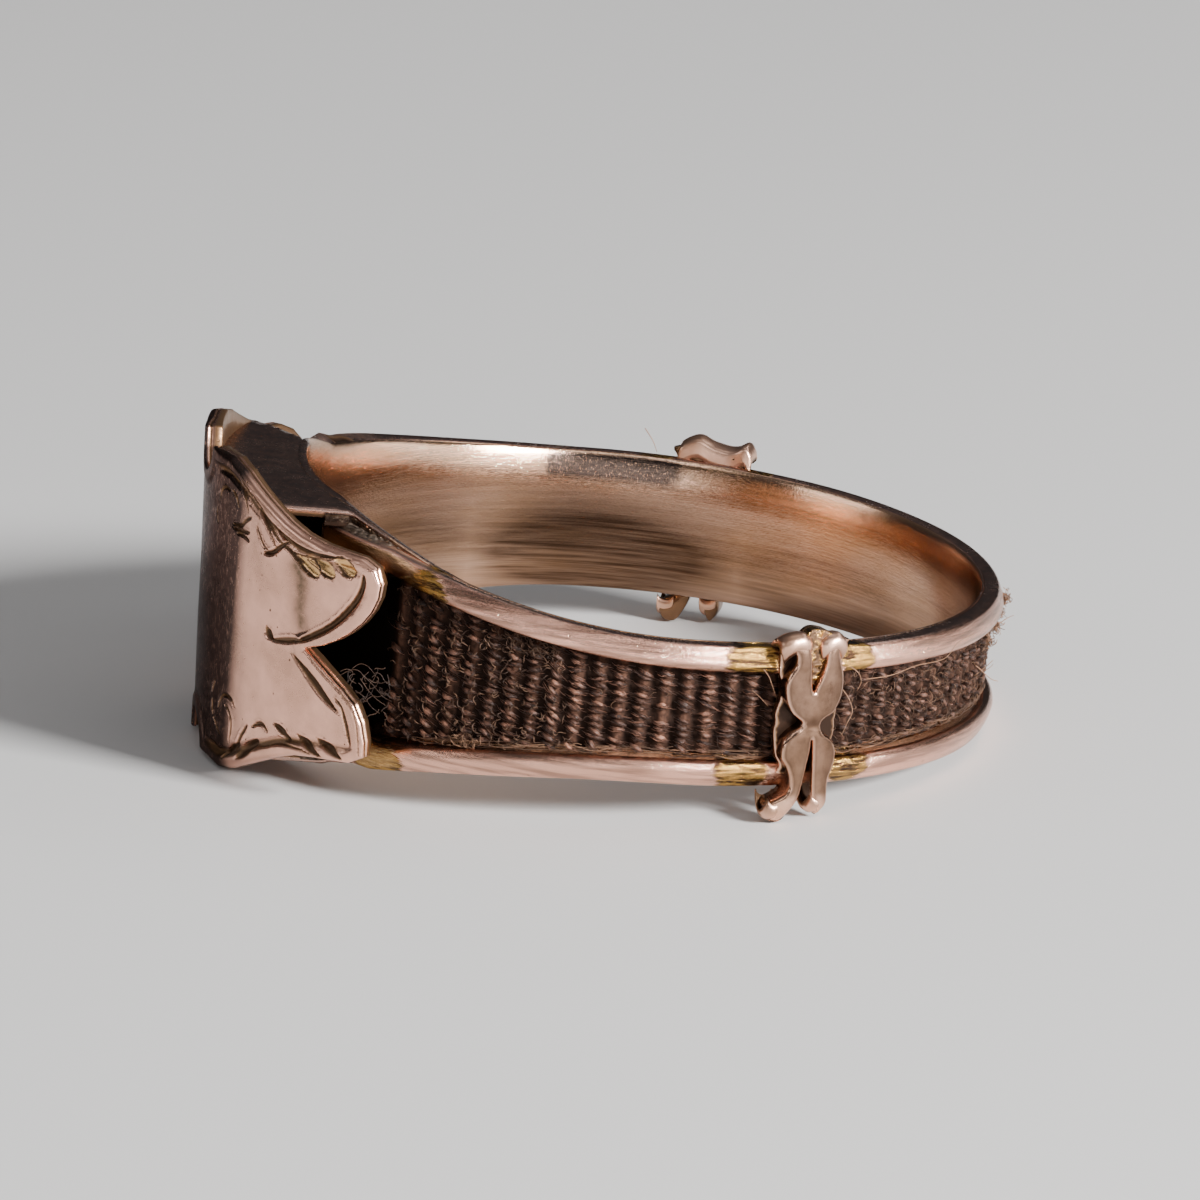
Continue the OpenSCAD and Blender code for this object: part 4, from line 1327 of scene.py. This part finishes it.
# Single hairs: the Y where they lie, thickness, paleness, and where they run in the photo's pixels
STRAYS = (
    (9.6, 0.014, 0.9, (645, 428, 649, 434, 653, 441, 657, 452)),
    (-9.3, 0.015, 0.75, (866, 679, 890, 675, 916, 665, 944, 658, 958, 642, 974, 634)),
    (-3.4, 0.016, 1.0, (944, 658, 962, 656, 978, 667, 990, 678, 998, 681)),
    (-3.2, 0.013, 0.9, (974, 676, 982, 669, 988, 664, 993, 660)),
    (-3.2, 0.012, 0.8, (982, 671, 988, 668, 993, 664)),
    (-4.6, 0.014, 0.8, (930, 663, 938, 673, 950, 679)),
    (-4.0, 0.014, 0.7, (946, 663, 957, 677, 966, 682)),
    (-1.4, 0.012, 0.8, (1000, 622, 1008, 618, 1014, 616)),
    (-8.9, 0.013, 0.7, (850, 666, 858, 672, 861, 681, 857, 691)),
    (-9.6, 0.014, 0.7, (843, 690, 849, 699, 852, 711, 847, 722, 842, 734)),
    (-9.3, 0.012, 0.8, (761, 666, 768, 675, 772, 685, 776, 697)),
    (-9.3, 0.010, 0.6, (752, 690, 760, 697, 768, 706)),
    (-7.0, 0.012, 0.08, (338, 676, 346, 672, 354, 670, 361, 673, 366, 682)),
    (-7.0, 0.011, 0.06, (340, 671, 347, 669, 353, 673, 350, 681, 344, 684)),
    (-7.1, 0.012, 0.10, (360, 678, 368, 690, 377, 700, 386, 706)),
    (-7.1, 0.011, 0.06, (355, 690, 364, 697, 372, 708, 380, 714)),
    (-7.2, 0.011, 0.08, (362, 674, 372, 684, 383, 697, 392, 702)),
    (-7.3, 0.011, 0.06, (366, 700, 372, 696, 380, 697, 388, 690)),
    (-7.0, 0.011, 0.08, (352, 668, 360, 664, 368, 667, 376, 676)),
)
# Where loose hairs tangle in the gap beside the shield, and how far they may reach, in pixels
TANGLE_RIGHT = (352, 390)
TANGLE_UP = (666, 716)
TANGLE_REACH = (348, 396, 660, 722)
# Clumps of pale fluff that stick out under the upper rim at the back: pixel, Y
FLUFF = ((1004, 598, -0.6), (999, 612, -1.2), (994, 626, -1.9), (986, 641, -2.8))


def strays():
    """Loose hairs that the photo shows one by one, a tangle beside the shield, and fluff."""
    tubes = Tubes(4)
    for y, thick, shade, pixels in STRAYS:
        line = smooth_line(np.array([on_plane(u, v, y) for u, v in pairs(pixels)]), 0.06, closed=False)
        t = np.linspace(0, 1, len(line))
        line[:, 1] += 0.06 * np.sin(3 * t + y)
        tubes.add(line, thick * (1 - 0.4 * t), shade)
    left, right, upper, lower = TANGLE_REACH
    t = np.linspace(0, 1, 9)
    for _ in range(TANGLED):
        way = rng.uniform(0, 2 * np.pi) + rng.normal(0, 2.0) * t + 0.6 * np.sin(5 * t + rng.uniform(0, 6))
        reach = rng.uniform(10, 22) / len(t)
        u = np.clip(rng.uniform(*TANGLE_RIGHT) + reach * np.cumsum(np.cos(way)), left, right)
        v = np.clip(rng.uniform(*TANGLE_UP) + reach * np.cumsum(np.sin(way)), upper, lower)
        y = rng.uniform(-7.3, -7.0)
        line = np.array([on_plane(a, b, y) for a, b in zip(u, v)])
        tubes.add(line, 0.011, rng.uniform(0.0, 0.12))
    t = np.linspace(0, 1, 8)
    for u, v, y in FLUFF:
        centre = on_plane(u, v, y)
        for _ in range(FLUFF_FIBRES):
            way = normed(rng.normal(0, 1, 3))
            side = normed(np.cross(way, rng.normal(0, 1, 3)))
            line = centre + rng.normal(0, 0.085, 3) + np.outer(t - 0.5, way) * rng.uniform(0.12, 0.28)
            line += np.outer(np.sin(rng.uniform(2, 6) * t), side) * 0.05
            tubes.add(line, 0.009, rng.uniform(0.25, 0.9))
    tubes.finish("stray_hairs", PALE_HAIR)


# Scene

# Lights: name, place in metres, width, height, power
LIGHTS = (
    ("key", (0.225, -0.233, 0.135), 0.075, 0.075, 4.6),
    ("front_strip", (-0.02, -0.33, 0.045), 0.80, 0.055, 0.42),
    ("right_strip", (0.33, -0.09, 0.045), 0.40, 0.055, 0.22),
    ("side", (-0.33, -0.06, 0.17), 0.20, 0.10, 0.14),
    ("front_top", (0.0, -0.22, 0.25), 0.34, 0.05, 0.15),
    ("right_top", (0.20, 0.08, 0.22), 0.26, 0.05, 0.10),
    ("top", (0.02, 0.05, 0.30), 0.20, 0.07, 0.05),
)


def add_camera():
    data = bpy.data.cameras.new("camera")
    data.lens = CAMERA_LENS
    data.sensor_width = SENSOR
    data.sensor_fit = "HORIZONTAL"
    data.clip_start = 0.01
    camera = bpy.data.objects.new("camera", data)
    bpy.context.scene.collection.objects.link(camera)
    camera.location = Vector(EYE * MM)
    camera.rotation_euler = Vector(BACK).to_track_quat("Z", "Y").to_euler()
    bpy.context.scene.camera = camera


def add_floor():
    bpy.ops.mesh.primitive_plane_add(size=1.2, location=(0, 0, FLOOR_Z))
    floor = bpy.context.object
    floor.name = "floor"
    n = Nodes("floor_paint")
    n.shade("Base Color", (0.62, 0.61, 0.60, 1))
    n.shade("Roughness", 0.6)
    floor.data.materials.append(n.material)


def add_light(name, place, wide, tall, power):
    light = bpy.data.lights.new(name, "AREA")
    light.shape = "RECTANGLE"
    light.energy = power
    light.size = wide
    light.size_y = tall
    lamp = bpy.data.objects.new(name, light)
    lamp.location = place
    lamp.rotation_euler = Vector(place).to_track_quat("Z", "Y").to_euler()
    lamp.visible_camera = False
    bpy.context.scene.collection.objects.link(lamp)


def add_world():
    """Dim near the horizon, lighter overhead."""
    world = bpy.data.worlds.new("studio")
    world.use_nodes = True
    tree = world.node_tree
    where = tree.nodes.new("ShaderNodeTexCoord")
    parts = tree.nodes.new("ShaderNodeSeparateXYZ")
    blend = tree.nodes.new("ShaderNodeValToRGB")
    tones = ((0.25, (0.035, 0.034, 0.036, 1)), (0.95, (0.17, 0.17, 0.18, 1)))
    for element, (position, tone) in zip(blend.color_ramp.elements, tones):
        element.position = position
        element.color = tone
    tree.links.new(where.outputs["Generated"], parts.inputs[0])
    tree.links.new(parts.outputs["Z"], blend.inputs[0])
    tree.links.new(blend.outputs[0], tree.nodes["Background"].inputs["Color"])
    bpy.context.scene.world = world


add_camera()
add_world()
add_floor()
for light in LIGHTS:
    add_light(*light)

band()
for word, side in (("upper", 1), ("lower", -1)):
    shelf(f"{word}_shelf", side)
    ramp(f"{word}_solder_near", side)
shield()
posts()
clips()
hair_backing()
slubs()
fuzz()
strays()
